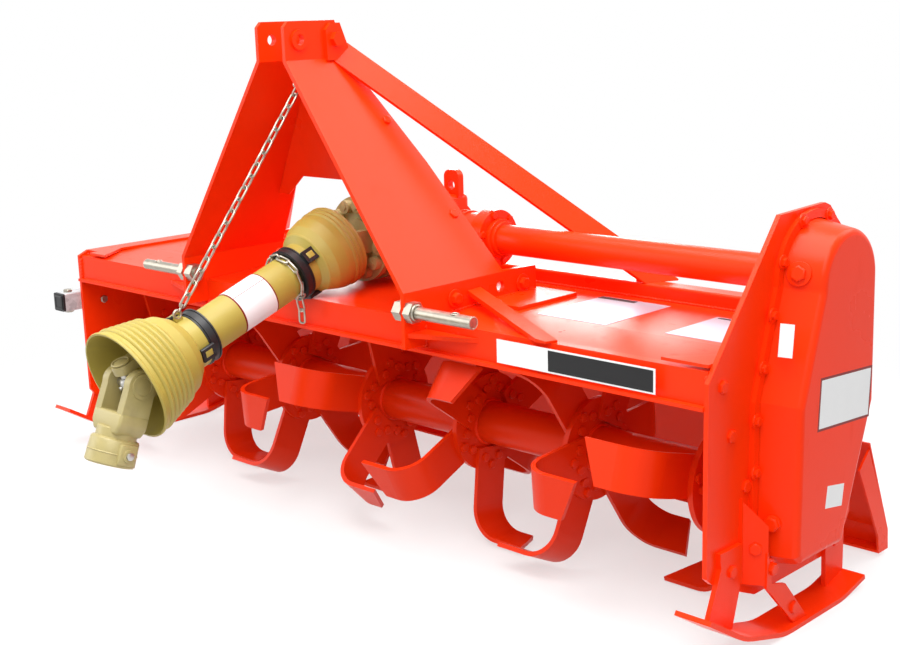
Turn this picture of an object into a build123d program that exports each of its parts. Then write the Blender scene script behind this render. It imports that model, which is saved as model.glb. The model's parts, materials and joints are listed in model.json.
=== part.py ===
"""Rotary tiller for a three-point hitch: hood, hitch mast, gearbox, side chain case,
L-blade rotor, tail board, skids and a shielded telescopic driveline.

Millimetres. It is drawn from the front rail's face, halfway between the end plates, and
saved with its origin on the ground at the middle of the whole machine's box.
+Z up, -Y towards the tractor, +X towards the chain case.
"""
import math
import os

from build123d import *

os.makedirs("parts", exist_ok=True)

# ---------------------------------------------------------------- driving sizes
FRAME_HALF = 857.0        # centre to the inner face of an end plate
END_T = 8.0               # end plate thickness
HITCH_X = -50.0           # hitch centre, off the frame centre away from the chain case
RAIL_TOP = 448.0          # top of the front rail
RAIL_FOOT = 390.0         # underside of the front rail's lip
RAIL_T = 6.0              # front rail plate
LIP_REACH = 12.0          # how far the lip stands out in front
LEDGE = 18.0              # depth of the ledge on the front rail
DECK_Z = 453.0            # top of the flat deck
DECK_T = 5.0              # deck sheet
FOLD_Y = 130.0            # where the deck turns flat
BEAM_Y = 352.0            # front face of the rear beam
BEAM_B = 40.0             # rear beam, square tube
BEAM_T = 4.0              # its wall
BEAM_RISE = 27.0          # how far it stands above the deck
DRIVE_Y = 267.0           # jackshaft axis, back from the rail
CROSS_Z = 549.0           # and its height
DRIVE_Z = 542.0           # height of the gearbox's input, a little below
TUBE_R = 28.0             # jackshaft tube
TUBE_T = 4.0
ROTOR_Y = 170.0           # rotor axis
ROTOR_Z = 222.0
TINE_R = 217.0            # reach of the tines
ROTOR_TUBE_R = 40.0
FLANGE_R = 92.0
FLANGE_T = 10.0
FLANGE_PITCH = 258.0
FLANGE_COUNT = 7

HITCH_HALF = 325.0        # hitch centre to the outer face of a hitch plate
MAST_HALF = 42.0          # hitch centre to the outer face of a mast plate at the top
MAST_T = 8.0
PIN_Y = -38.0             # lower hitch pins
PIN_Z = 469.0
PIN_R = 11.1              # category 1 lower pin
MAST_RISE = 460.0         # top-link hole above the lower pins
TOP_HOLE_R = 9.8
FOLD_TOP_Z = 893.0        # upper fold of the mast plates
FOLD_LOW_Z = 503.0        # lower fold
MAST_TOP_Z = 962.0
MAST_FRONT_Y = -53.0

JOINT_Y = 90.0            # rear universal joint
SHAFT_FALL = 19.9         # driveline, degrees below level
YOKE_FALL = 68.0          # tractor yoke, degrees below level
JOINT_GAP = 520.0         # between the two universal joints, closed
SHIELD_R = 41.0           # outer shield tube
SHIELD_IN_R = 36.0        # inner shield tube
SHIELD_T = 3.0
SHIELD_GAP = 0.6
COLLAR_R = 51.0
NECK_R = 50.0
FRONT_BELL_R = 103.0
REAR_BELL_R = 78.0
BELL_T = 3.0
SHAFT_R = 16.0            # sliding inner shaft
SHAFT_TUBE_R = 21.0
SLIDE_FIT = 0.05
CROSS_R = 10.0            # trunnions of a universal joint
TRUNNION_FIT = 0.05
EAR_IN = 24.0             # joint centre to the inner face of an ear
EAR_OUT = 40.0
EAR_R = 27.0              # round boss on the outside of a tractor yoke ear
EAR_W = 22.0              # half width of an ear on the sides
EAR_SLIM = 18.0           # half width of the ears that pass between them
EAR_BOSS = 33.0           # joint centre to the inner face of the boss
BORE_R = 17.45            # 1 3/8 in drive bore of the tractor yoke
CLUTCH_R = 84.0
CLUTCH_FRONT = 140.0      # front face of the foremost plate
YOKE_LEN = 142.0          # joint centre to the yoke's mouth
YOKE_MOUTH_R = 44.0

GATE_HINGE_Y = 452.0      # tail board hinge
GATE_HINGE_Z = 345.0
HINGE_ROD_R = 8.0
HINGE_FIT = 0.08
KNUCKLE_R = 13.0
GATE_T = 4.0
GATE_REACH = 558.0        # rear face of the tail board's foot

SKID_IN = FRAME_HALF - 7.0  # skid shoe, inner edge
SKID_W = 63.0
SKID_T = 8.0

CASE_T = 5.0              # chain case cover sheet
CASE_DEPTH = 72.0
CASE_HEAD_R = 102.0       # round head of the cover about the jackshaft
CASE_LIP = 8.0            # bolting flange of the cover

# ---------------------------------------------------------------- small helpers


def yz(x):
    """Plane across the machine at x: local x is +Y, local y is +Z, extrudes to +X."""
    return Plane(origin=(x, 0, 0), x_dir=(0, 1, 0), z_dir=(1, 0, 0))


def xz(y):
    """Upright plane along the machine at y: local x is +X, local y is +Z, extrudes to -Y."""
    return Plane(origin=(0, y, 0), x_dir=(1, 0, 0), z_dir=(0, -1, 0))


def across(x, y, z):
    """Plane for round things on an axis along +X."""
    return Plane(origin=(x, y, z), x_dir=(0, 1, 0), z_dir=(1, 0, 0))


FALL = math.radians(SHAFT_FALL)
SHAFT_DIR = (0, -math.cos(FALL), -math.sin(FALL))
SHAFT_UP = (0, -math.sin(FALL), math.cos(FALL))
YOKE = math.radians(YOKE_FALL)
YOKE_DIR = (0, -math.cos(YOKE), -math.sin(YOKE))
FRONT_Y = JOINT_Y + JOINT_GAP * SHAFT_DIR[1]
FRONT_Z = DRIVE_Z + JOINT_GAP * SHAFT_DIR[2]


def on_shaft(s):
    """Plane square to the driveline, s in front of the rear joint; local y points up."""
    origin = (HITCH_X, JOINT_Y + s * SHAFT_DIR[1], DRIVE_Z + s * SHAFT_DIR[2])
    return Plane(origin=origin, x_dir=(1, 0, 0), z_dir=SHAFT_DIR)


def on_yoke(s):
    """Plane square to the tractor yoke, s beyond the front joint."""
    origin = (HITCH_X, FRONT_Y + s * YOKE_DIR[1], FRONT_Z + s * YOKE_DIR[2])
    return Plane(origin=origin, x_dir=(1, 0, 0), z_dir=YOKE_DIR)


def facing_y(y):
    """Plane square to the gearbox input, at y; extrudes to -Y."""
    return Plane(origin=(HITCH_X, y, DRIVE_Z), x_dir=(1, 0, 0), z_dir=(0, -1, 0))


FRONT_REACH = FRONT_Y + YOKE_LEN * YOKE_DIR[1] - YOKE_MOUTH_R * math.sin(YOKE)
ROW_Y = (GATE_REACH + FRONT_REACH) / 2
ROW_X = (FRAME_HALF + END_T + CASE_DEPTH - SKID_IN - SKID_W) / 2


def save(part, name):
    """Writes one node, moved to the row's origin."""
    placed = part.moved(Location((-ROW_X, -ROW_Y, 0)))
    placed.label = name
    export_step(placed, "parts/" + name + ".step")


# ---------------------------------------------------------------- front rail
with BuildPart() as front_rail:
    with BuildSketch(yz(-FRAME_HALF)):
        with BuildLine():
            Polyline(
                (-LIP_REACH, RAIL_FOOT),
                (RAIL_T, RAIL_FOOT),
                (RAIL_T, RAIL_TOP - RAIL_T),
                (LEDGE, RAIL_TOP - RAIL_T),
                (LEDGE, RAIL_TOP),
                (0, RAIL_TOP),
                (0, RAIL_FOOT + RAIL_T),
                (-LIP_REACH, RAIL_FOOT + RAIL_T),
                close=True,
            )
        make_face()
    extrude(amount=2 * FRAME_HALF)
save(front_rail.part, "front_rail")

# ---------------------------------------------------------------- hood deck
with BuildPart() as hood_deck:
    with BuildSketch(yz(-FRAME_HALF)):
        with BuildLine():
            Polyline(
                (LEDGE, RAIL_TOP),
                (FOLD_Y, DECK_Z),
                (BEAM_Y, DECK_Z),
                (BEAM_Y, DECK_Z - DECK_T),
                (FOLD_Y, DECK_Z - DECK_T),
                (LEDGE, RAIL_TOP - DECK_T),
                close=True,
            )
        make_face()
    extrude(amount=2 * FRAME_HALF)
save(hood_deck.part, "hood_deck")

# ---------------------------------------------------------------- rear beam
BEAM_TOP = DECK_Z + BEAM_RISE
BEAM_REAR = BEAM_Y + BEAM_B
with BuildPart() as rear_beam:
    with BuildSketch(yz(-FRAME_HALF)):
        with Locations((BEAM_Y + BEAM_B / 2, BEAM_TOP - BEAM_B / 2)):
            RectangleRounded(BEAM_B, BEAM_B, 5)
            RectangleRounded(BEAM_B - 2 * BEAM_T, BEAM_B - 2 * BEAM_T, 2, mode=Mode.SUBTRACT)
    extrude(amount=2 * FRAME_HALF)
save(rear_beam.part, "rear_beam")

# ---------------------------------------------------------------- rear hood sheet
HOOD_END_Y = GATE_HINGE_Y - 17
HOOD_END_Z = GATE_HINGE_Z + 20
with BuildPart() as rear_hood:
    with BuildSketch(yz(-FRAME_HALF)):
        with BuildLine():
            Polyline(
                (BEAM_REAR, BEAM_TOP - 10),
                (BEAM_REAR + 18, BEAM_TOP - 16),
                (HOOD_END_Y, HOOD_END_Z),
                (HOOD_END_Y - DECK_T, HOOD_END_Z),
                (BEAM_REAR + 14, BEAM_TOP - 20),
                (BEAM_REAR, BEAM_TOP - 15),
                close=True,
            )
        make_face()
    extrude(amount=2 * FRAME_HALF)
save(rear_hood.part, "rear_hood")

# ---------------------------------------------------------------- end plates
PLATE_FRONT = -9.0
PLATE_REAR = 445.0
PLATE_FOOT = 63.0
LOWER_EDGE = [
    # (y, z) along the foot of an end plate, rear to front
    (PLATE_REAR, 340.0),
    (418.0, 225.0),
    (418.0, 120.0),
    (380.0, PLATE_FOOT),
    (124.0, PLATE_FOOT),
    (66.0, 88.0),
    (5.0, 118.0),
    (PLATE_FRONT, 130.0),
]
CASE_TOP = 661.0
ROTOR_BORE_R = 30.0
UPRIGHT_BOLTS = [
    # (y, z) of the two bolts that hold a skid's uprights
    (46.0, 128.0),
    (356.0, 86.0),
]
SKID_BOLT_R = 6.5
with BuildPart() as side_plate_right:
    with BuildSketch(yz(FRAME_HALF)):
        with BuildLine():
            Polyline(
                (PLATE_FRONT, 432.0),
                (177.0, 657.0),
                (308.0, CASE_TOP),
                (324.0, 655.0),
                (PLATE_REAR, 530.0),
                *LOWER_EDGE,
                close=True,
            )
        make_face()
        with Locations((ROTOR_Y, ROTOR_Z)):
            Circle(ROTOR_BORE_R, mode=Mode.SUBTRACT)
        with Locations(*UPRIGHT_BOLTS):
            Circle(SKID_BOLT_R, mode=Mode.SUBTRACT)
    extrude(amount=END_T)
save(side_plate_right.part, "side_plate_right")

SIDE_FLANGE_W = 40.0
with BuildPart() as side_plate_left:
    with BuildSketch(yz(-FRAME_HALF - END_T)):
        with BuildLine():
            Polyline(
                (PLATE_FRONT + 5, RAIL_TOP),
                (20.0, DECK_Z + 5.5),
                (BEAM_Y, DECK_Z + 5.5),
                (BEAM_Y, BEAM_TOP),
                (PLATE_REAR, BEAM_TOP - 30),
                *LOWER_EDGE[:-1],
                (PLATE_FRONT + 5, 130.0),
                close=True,
            )
        make_face()
        with Locations((ROTOR_Y, ROTOR_Z)):
            Circle(ROTOR_BORE_R, mode=Mode.SUBTRACT)
        with Locations(*UPRIGHT_BOLTS):
            Circle(SKID_BOLT_R, mode=Mode.SUBTRACT)
    extrude(amount=END_T)
    with BuildSketch(yz(-FRAME_HALF)):
        with BuildLine():
            Polyline(
                (20.0, DECK_Z + 0.5),
                (BEAM_Y, DECK_Z + 0.5),
                (BEAM_Y, DECK_Z + 5.5),
                (20.0, DECK_Z + 5.5),
                close=True,
            )
        make_face()
    extrude(amount=SIDE_FLANGE_W)
save(side_plate_left.part, "side_plate_left")

# ---------------------------------------------------------------- corner gussets on the deck
GUSSET_Z = DECK_Z + 0.5
with BuildPart() as corner_gussets:
    with BuildSketch(Plane.XY.offset(GUSSET_Z)):
        with BuildLine():
            Polyline((FRAME_HALF, 1), (FRAME_HALF, 96), (FRAME_HALF - 84, 1), close=True)
        make_face()
        with BuildLine():
            Polyline(
                (-FRAME_HALF + SIDE_FLANGE_W, 1),
                (-FRAME_HALF + SIDE_FLANGE_W, 84),
                (-FRAME_HALF + SIDE_FLANGE_W + 62, 1),
                close=True,
            )
        make_face()
    extrude(amount=5)
save(corner_gussets.part, "corner_gussets")

# ---------------------------------------------------------------- chain case cover
CASE_LINE = [
    # (y, z) of the cover's foot from the rear of its round head, down and up the front
    (DRIVE_Y + CASE_HEAD_R, CROSS_Z),
    (372.0, 340.0),
    (285.0, 118.0),
    (268.0, 105.0),
    (132.0, 105.0),
    (106.0, 130.0),
    (108.0, 380.0),
    (DRIVE_Y - CASE_HEAD_R, CROSS_Z),
]
CASE_X = FRAME_HALF + END_T
CASE_IN = 9.0             # dome's foot inside the outline
CASE_OUT = 5.0            # flange's edge outside it
CASE_DRAFT = 10.0         # slope of the dome's sides, degrees
with BuildSketch(yz(CASE_X)) as case_outline:
    with BuildLine():
        Polyline(*CASE_LINE)
        ThreePointArc(CASE_LINE[-1], (DRIVE_Y, CROSS_Z + CASE_HEAD_R), CASE_LINE[0])
    make_face()
with BuildPart() as case_cover:
    with BuildSketch(yz(CASE_X)):
        add(case_outline.sketch_local)
        offset(amount=-CASE_IN)
    extrude(amount=CASE_DEPTH, taper=CASE_DRAFT)
    fillet(case_cover.faces().sort_by(Axis.X)[-1].edges(), 12)
    with BuildSketch(yz(CASE_X)):
        add(case_outline.sketch_local)
        offset(amount=-CASE_IN - CASE_T)
    extrude(amount=CASE_DEPTH - CASE_T, taper=CASE_DRAFT, mode=Mode.SUBTRACT)
save(case_cover.part, "case_cover")

with BuildPart() as case_flange:
    with BuildSketch(yz(CASE_X)):
        add(case_outline.sketch_local)
        offset(amount=CASE_OUT)
    extrude(amount=CASE_LIP)
    with BuildSketch(yz(CASE_X)):
        add(case_outline.sketch_local)
        offset(amount=-CASE_IN + 0.4)
    extrude(amount=CASE_LIP, mode=Mode.SUBTRACT)
save(case_flange.part, "case_flange")

# ---------------------------------------------------------------- guard over the case's foot
GUARD_T = 5.0
GUARD_TOP = 245.0
GUARD_LEG_X = CASE_X + 34.0
with BuildPart() as case_guard:
    with BuildSketch(Plane.XY.offset(96)):
        with BuildLine():
            Polyline(
                (CASE_X, 77),
                (CASE_X, 85),
                (GUARD_LEG_X, 102),
                (GUARD_LEG_X + GUARD_T, 98),
                (CASE_X + GUARD_T, 80),
                (CASE_X + GUARD_T, 77),
                close=True,
            )
        make_face()
    extrude(amount=GUARD_TOP - 96)
    with BuildSketch(yz(GUARD_LEG_X)):
        with BuildLine():
            Polyline(
                (96, 150),
                (96, 92),
                (178, SKID_T + 0.5),
                (216, SKID_T + 0.5),
                (150, 84),
                (112, 96),
                (100, 150),
                close=True,
            )
        make_face()
    extrude(amount=GUARD_T)
    with BuildSketch(yz(CASE_X - 1)):
        with BuildLine():
            Polyline((70, GUARD_TOP + 5), (110, GUARD_TOP + 5), (110, 168), close=True)
        make_face()
    extrude(amount=60, mode=Mode.SUBTRACT)
save(case_guard.part, "case_guard")

# ---------------------------------------------------------------- jackshaft tube
TUBE_X0 = 204.0
with BuildPart() as jackshaft_tube:
    with BuildSketch(across(TUBE_X0, DRIVE_Y, CROSS_Z)):
        Circle(TUBE_R)
        Circle(TUBE_R - TUBE_T, mode=Mode.SUBTRACT)
    extrude(amount=FRAME_HALF - TUBE_X0)
save(jackshaft_tube.part, "jackshaft_tube")

# ---------------------------------------------------------------- gearbox
NECK_OUT = 14.0           # input bearing neck, beyond the gearbox's face
INPUT_R = 20.0            # input shaft
INPUT_FIT = 0.05
BOX_X0 = -150.0
BOX_X1 = 70.0
BOX_Y0 = 204.0
BOX_Y1 = 334.0
BOX_Z0 = DRIVE_Z - 67
BOX_Z1 = DRIVE_Z + 77
with BuildPart() as gearbox:
    with BuildSketch(Plane.XY.offset(BOX_Z0)):
        with Locations(((BOX_X0 + BOX_X1) / 2, (BOX_Y0 + BOX_Y1) / 2)):
            RectangleRounded(BOX_X1 - BOX_X0, BOX_Y1 - BOX_Y0, 16)
    extrude(amount=BOX_Z1 - BOX_Z0)
    fillet(gearbox.faces().sort_by(Axis.Z)[-1].edges(), 12)
    with BuildSketch(Plane.XY.offset(DECK_Z)):
        with Locations(((BOX_X0 + BOX_X1) / 2, (BOX_Y0 + BOX_Y1) / 2)):
            Rectangle(BOX_X1 - BOX_X0 + 60, BOX_Y1 - BOX_Y0 - 4)
    extrude(amount=12)
    with BuildSketch(Plane.XY.offset(DECK_Z + 12)):
        with Locations(((BOX_X0 + BOX_X1) / 2, (BOX_Y0 + BOX_Y1) / 2)):
            Rectangle(BOX_X1 - BOX_X0 - 30, BOX_Y1 - BOX_Y0 - 30)
    extrude(amount=BOX_Z0 - DECK_Z - 12)
    with BuildSketch(facing_y(BOX_Y0)):
        Circle(50)
    extrude(amount=NECK_OUT)
    with BuildSketch(facing_y(BOX_Y0 + 20)):
        Circle(INPUT_R + INPUT_FIT)
    extrude(amount=20 + NECK_OUT, mode=Mode.SUBTRACT)
    for x0, length, radius in (
        # start, length and radius of each round step along the jackshaft axis
        (BOX_X1, 18, 62),
        (BOX_X1 + 18, 88, 44),
        (TUBE_X0 - 28, 28, 54),
        (BOX_X0 - 16, 16, 58),
    ):
        with BuildSketch(across(x0, DRIVE_Y, CROSS_Z)):
            Circle(radius)
        extrude(amount=length)
    with BuildSketch(xz(312)):
        with Locations((BOX_X1 - 18, BOX_Z1 + 18)):
            RectangleRounded(40, 60, 14)
            Circle(9, mode=Mode.SUBTRACT)
    extrude(amount=14)
save(gearbox.part, "gearbox")

# ---------------------------------------------------------------- hitch mast plates
LEAN = (HITCH_HALF - MAST_HALF) / (FOLD_TOP_Z - FOLD_LOW_Z)
LEAN_T = MAST_T * math.sqrt(1 + LEAN * LEAN)
TOP_MITRE = (LEAN_T - MAST_T) / LEAN
MAST_REAR_TOP = 66.0
HITCH_REAR = 291.0
BRACE_BOLT_Y = 60.0
BRACE_BOLT_Z = 928.0
BRACE_BOLT_R = 8.0
TOP_HOLE_Y = -21.0
TOP_HOLE_Z = PIN_Z + MAST_RISE
with BuildPart() as mast_plates:
    with BuildSketch(xz(HITCH_REAR)):
        with BuildLine():
            Polyline(
                (HITCH_X + MAST_HALF, MAST_TOP_Z),
                (HITCH_X + MAST_HALF, FOLD_TOP_Z),
                (HITCH_X + HITCH_HALF, FOLD_LOW_Z),
                (HITCH_X + HITCH_HALF, RAIL_FOOT),
                (HITCH_X + (HITCH_HALF - MAST_T), RAIL_FOOT),
                (HITCH_X + (HITCH_HALF - MAST_T), FOLD_LOW_Z - TOP_MITRE),
                (HITCH_X + (MAST_HALF - MAST_T), FOLD_TOP_Z - TOP_MITRE),
                (HITCH_X + (MAST_HALF - MAST_T), MAST_TOP_Z),
                close=True,
            )
        make_face()
    extrude(amount=HITCH_REAR - MAST_FRONT_Y)
    with BuildSketch(yz(HITCH_X)):
        with BuildLine():
            Polyline(
                (MAST_FRONT_Y, RAIL_FOOT + 14),
                (MAST_FRONT_Y, MAST_TOP_Z - 10),
                (MAST_FRONT_Y + 10, MAST_TOP_Z),
                (MAST_REAR_TOP, MAST_TOP_Z),
                (90.0, FOLD_TOP_Z),
                (155.0, 700.0),
                (201.0, FOLD_LOW_Z + 2),
                (HITCH_REAR, FOLD_LOW_Z - 1),
                (HITCH_REAR, DECK_Z + 0.2),
                (FOLD_Y, DECK_Z + 0.2),
                (LEDGE, RAIL_TOP + 0.2),
                (-0.2, RAIL_TOP + 0.2),
                (-0.2, RAIL_FOOT + 14),
                close=True,
            )
        make_face()
    extrude(amount=400, both=True, mode=Mode.INTERSECT)
    for y, z, radius in (
        # y, z and radius of each hole through a plate
        (TOP_HOLE_Y, TOP_HOLE_Z, TOP_HOLE_R),
        (BRACE_BOLT_Y, BRACE_BOLT_Z, BRACE_BOLT_R + 0.5),
        (PIN_Y, PIN_Z, PIN_R + 0.4),
        (192.0, 477.0, 10.0),
    ):
        with BuildSketch(across(HITCH_X, y, z)):
            Circle(radius)
        extrude(amount=400, both=True, mode=Mode.SUBTRACT)
    with BuildSketch(across(HITCH_X + MAST_HALF, TOP_HOLE_Y, TOP_HOLE_Z)):
        Circle(18)
        Circle(TOP_HOLE_R, mode=Mode.SUBTRACT)
    extrude(amount=5)
    mirror(about=Plane.YZ.offset(HITCH_X))
save(mast_plates.part, "mast_plates")

# ---------------------------------------------------------------- spacer and bolt at the mast top
with BuildPart() as mast_spacer:
    with BuildSketch(across(HITCH_X - MAST_HALF + MAST_T, BRACE_BOLT_Y, BRACE_BOLT_Z)):
        Circle(14)
        Circle(BRACE_BOLT_R + 0.5, mode=Mode.SUBTRACT)
    extrude(amount=2 * (MAST_HALF - MAST_T))
save(mast_spacer.part, "mast_spacer")

BRACE_T = 8.0
BOLT_REACH = MAST_HALF + BRACE_T
with BuildPart() as mast_bolt:
    with BuildSketch(across(HITCH_X - BOLT_REACH - 22, BRACE_BOLT_Y, BRACE_BOLT_Z)):
        Circle(BRACE_BOLT_R)
    extrude(amount=2 * BOLT_REACH + 28)
    with BuildSketch(across(HITCH_X + BOLT_REACH, BRACE_BOLT_Y, BRACE_BOLT_Z)):
        RegularPolygon(14, 6)
    extrude(amount=11)
    with BuildSketch(across(HITCH_X - BOLT_REACH - 14, BRACE_BOLT_Y, BRACE_BOLT_Z)):
        RegularPolygon(14, 6)
    extrude(amount=14)
save(mast_bolt.part, "mast_bolt")

# ---------------------------------------------------------------- rear braces
BRACE_W = 48.0
BRACE_FOOT_X = 545.0      # foot, out from the hitch centre
BRACE_FOOT_Y = BEAM_Y + 32
BRACE_TOP_Z = 900.0
top = Vector(HITCH_X + (MAST_HALF + BRACE_T / 2), 78, BRACE_TOP_Z)
foot = Vector(HITCH_X + BRACE_FOOT_X, BRACE_FOOT_Y, BEAM_TOP)
run = (foot - top).normalized()
flat = Vector(0, -run.Z, run.Y).normalized()
with BuildPart() as rear_braces:
    with BuildSketch(Plane(origin=top - run * 6, x_dir=flat, z_dir=run)):
        Rectangle(BRACE_W, BRACE_T)
    extrude(amount=(foot - top).length + 30)
    with BuildSketch(Plane.XY.offset(BEAM_TOP + 0.2)):
        with Locations((0, 300)):
            Rectangle(2000, 900)
    extrude(amount=600, mode=Mode.INTERSECT)
    with BuildSketch(yz(HITCH_X + MAST_HALF)):
        with BuildLine():
            Polyline((40, 890), (38, 945), (50, 957), (72, 957), (100, 890), close=True)
        make_face()
        with Locations((BRACE_BOLT_Y, BRACE_BOLT_Z)):
            Circle(BRACE_BOLT_R + 0.5, mode=Mode.SUBTRACT)
    extrude(amount=BRACE_T)
    with BuildSketch(xz(900)):
        with BuildLine():
            Polyline(
                (HITCH_X, 1100),
                (HITCH_X + (MAST_HALF + 0.1), 1100),
                (HITCH_X + (MAST_HALF + 0.1), FOLD_TOP_Z),
                (HITCH_X + (HITCH_HALF + 0.1), FOLD_LOW_Z),
                (HITCH_X, FOLD_LOW_Z),
                close=True,
            )
        make_face()
    extrude(amount=1500, mode=Mode.SUBTRACT)
    mirror(about=Plane.YZ.offset(HITCH_X))
save(rear_braces.part, "rear_braces")

# ---------------------------------------------------------------- clutch guard between the plates
GUARD_SLOPE_TOP = Vector(HITCH_X, 84, 838)
GUARD_SLOPE_FOOT = Vector(HITCH_X, 134, 618)
guard_run = (GUARD_SLOPE_FOOT - GUARD_SLOPE_TOP).normalized()
GUARD_LEN = (GUARD_SLOPE_FOOT - GUARD_SLOPE_TOP).length


def guard_half(z):
    """Half width between the mast plates' inner faces at height z, less a hair."""
    return MAST_HALF - LEAN_T + (FOLD_TOP_Z - z) * LEAN - 0.4


with BuildPart() as clutch_guard:
    guard_face = guard_run.cross(Vector(1, 0, 0))
    with BuildSketch(Plane(origin=GUARD_SLOPE_TOP, x_dir=(1, 0, 0), z_dir=guard_face)):
        with BuildLine():
            Polyline(
                (-guard_half(GUARD_SLOPE_TOP.Z), 0),
                (guard_half(GUARD_SLOPE_TOP.Z), 0),
                (guard_half(GUARD_SLOPE_FOOT.Z), -GUARD_LEN),
                (guard_half(GUARD_SLOPE_FOOT.Z) - 34, -GUARD_LEN),
                (guard_half(GUARD_SLOPE_FOOT.Z) - 92, 42 - GUARD_LEN),
                (-guard_half(GUARD_SLOPE_FOOT.Z) + 92, 42 - GUARD_LEN),
                (-guard_half(GUARD_SLOPE_FOOT.Z) + 34, -GUARD_LEN),
                (-guard_half(GUARD_SLOPE_FOOT.Z), -GUARD_LEN),
                close=True,
            )
        make_face()
    extrude(amount=3)
save(clutch_guard.part, "clutch_guard")

# ---------------------------------------------------------------- deck doublers by the hitch plates
DOUBLER_W = 95.0
with BuildPart() as deck_doublers:
    with BuildSketch(Plane.XY.offset(DECK_Z)):
        for side in (1, -1):
            x = HITCH_X + side * (HITCH_HALF + 0.2 + DOUBLER_W / 2)
            with Locations((x, (FOLD_Y + HITCH_REAR) / 2 + 4)):
                Rectangle(DOUBLER_W, HITCH_REAR - FOLD_Y)
    extrude(amount=7)
save(deck_doublers.part, "deck_doublers")

# ---------------------------------------------------------------- hitch gussets on the rail
with BuildPart() as hitch_gussets:
    for side in (1, -1):
        with BuildSketch(Plane.XY.offset(424)):
            with BuildLine():
                Polyline(
                    (HITCH_X + side * (HITCH_HALF + 0.1), -46),
                    (HITCH_X + side * (HITCH_HALF + 0.1), -0.1),
                    (HITCH_X + side * (HITCH_HALF + 125), -0.1),
                    close=True,
                )
            make_face()
        extrude(amount=8)
save(hitch_gussets.part, "hitch_gussets")

# ---------------------------------------------------------------- diagonal stay to the rail, long side only
STAY_TOP = Vector(HITCH_X + HITCH_HALF, 122, 480)
STAY_FOOT = Vector(540, 4, RAIL_TOP + 2)
stay_run = (STAY_FOOT - STAY_TOP).normalized()
with BuildPart() as rail_stay:
    stay_side = Vector(0, 0, 1).cross(stay_run)
    with BuildSketch(Plane(origin=STAY_TOP - stay_run * 30, x_dir=stay_side, z_dir=stay_run)):
        Rectangle(30, 8)
    extrude(amount=(STAY_FOOT - STAY_TOP).length + 50)
    with BuildSketch(yz(HITCH_X + HITCH_HALF + 0.1)):
        with BuildLine():
            Polyline(
                (-10, RAIL_TOP + 0.2),
                (LEDGE, RAIL_TOP + 0.2),
                (FOLD_Y, DECK_Z + 0.2),
                (300, DECK_Z + 0.2),
                (300, 700),
                (-10, 700),
                close=True,
            )
        make_face()
    extrude(amount=600, mode=Mode.INTERSECT)
save(rail_stay.part, "rail_stay")

# ---------------------------------------------------------------- lower hitch pins
PIN_END = 150.0           # beyond the hitch plate's outer face
HEX_T = 16.0
NUT_T = 20.0
LYNCH_R = 5.7
LYNCH_AT = 108.0
face = HITCH_X + HITCH_HALF
inner = face - MAST_T
with BuildPart() as lower_pins:
    with BuildSketch(across(inner - (NUT_T + 6), PIN_Y, PIN_Z)):
        Circle(PIN_R)
    extrude(amount=(NUT_T + 6 + MAST_T + PIN_END))
    with BuildSketch(across(face, PIN_Y, PIN_Z)):
        RegularPolygon(20, 6)
    extrude(amount=HEX_T)
    with BuildSketch(across(inner, PIN_Y, PIN_Z)):
        RegularPolygon(19, 6)
    extrude(amount=-NUT_T)
    with BuildSketch(Plane.XY.offset(PIN_Z)):
        with Locations((face + LYNCH_AT, PIN_Y)):
            Circle(LYNCH_R)
    extrude(amount=30, both=True, mode=Mode.SUBTRACT)
    mirror(about=Plane.YZ.offset(HITCH_X))
save(lower_pins.part, "lower_pins")

# ---------------------------------------------------------------- side tube and its plug
SIDE_TUBE = 42.0
SIDE_TUBE_X = -FRAME_HALF - END_T - 0.2 - SIDE_TUBE / 2
SIDE_TUBE_Z = 343.0
SIDE_TUBE_Y0 = -45.0
SIDE_TUBE_Y1 = 190.0
with BuildPart() as side_tube:
    with BuildSketch(xz(SIDE_TUBE_Y1)):
        with Locations((SIDE_TUBE_X, SIDE_TUBE_Z)):
            RectangleRounded(SIDE_TUBE, SIDE_TUBE, 4)
            RectangleRounded(SIDE_TUBE - 6, SIDE_TUBE - 6, 2, mode=Mode.SUBTRACT)
    extrude(amount=SIDE_TUBE_Y1 - SIDE_TUBE_Y0)
save(side_tube.part, "side_tube")

with BuildPart() as side_tube_plug:
    with BuildSketch(xz(SIDE_TUBE_Y0)):
        with Locations((SIDE_TUBE_X, SIDE_TUBE_Z)):
            RectangleRounded(SIDE_TUBE - 1, SIDE_TUBE - 1, 4)
    extrude(amount=5)
    with BuildSketch(xz(SIDE_TUBE_Y0)):
        with Locations((SIDE_TUBE_X, SIDE_TUBE_Z)):
            Rectangle(SIDE_TUBE - 8, SIDE_TUBE - 8)
    extrude(amount=-18)
save(side_tube_plug.part, "side_tube_plug")

# ---------------------------------------------------------------- skids with their uprights
SHOE_FOOT = [
    # (y, z) of the middle of the shoe's thickness, front to rear
    (-68.0, 94.0),
    (26.0, 36.0),
    (140.0, SKID_T / 2),
    (318.0, SKID_T / 2),
    (390.0, 20.0),
]
with BuildPart() as skids:
    with BuildSketch(yz(SKID_IN)):
        with BuildLine() as shoe_line:
            FilletPolyline(*SHOE_FOOT, radius=150)
        trace(shoe_line.edges(), line_width=SKID_T)
    extrude(amount=SKID_W)
    with BuildSketch(yz((FRAME_HALF + END_T))):
        with BuildLine():
            Polyline((15, 165), (74, 165), (74, 108), (48, 26), (-16, 62), (18, 140), close=True)
        make_face()
        with BuildLine():
            Polyline((326, 116), (386, 116), (386, 16), (330, 6), close=True)
        make_face()
        with Locations(*UPRIGHT_BOLTS):
            Circle(SKID_BOLT_R, mode=Mode.SUBTRACT)
    extrude(amount=8)
    mirror(about=Plane.YZ)
save(skids.part, "skids")

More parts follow.
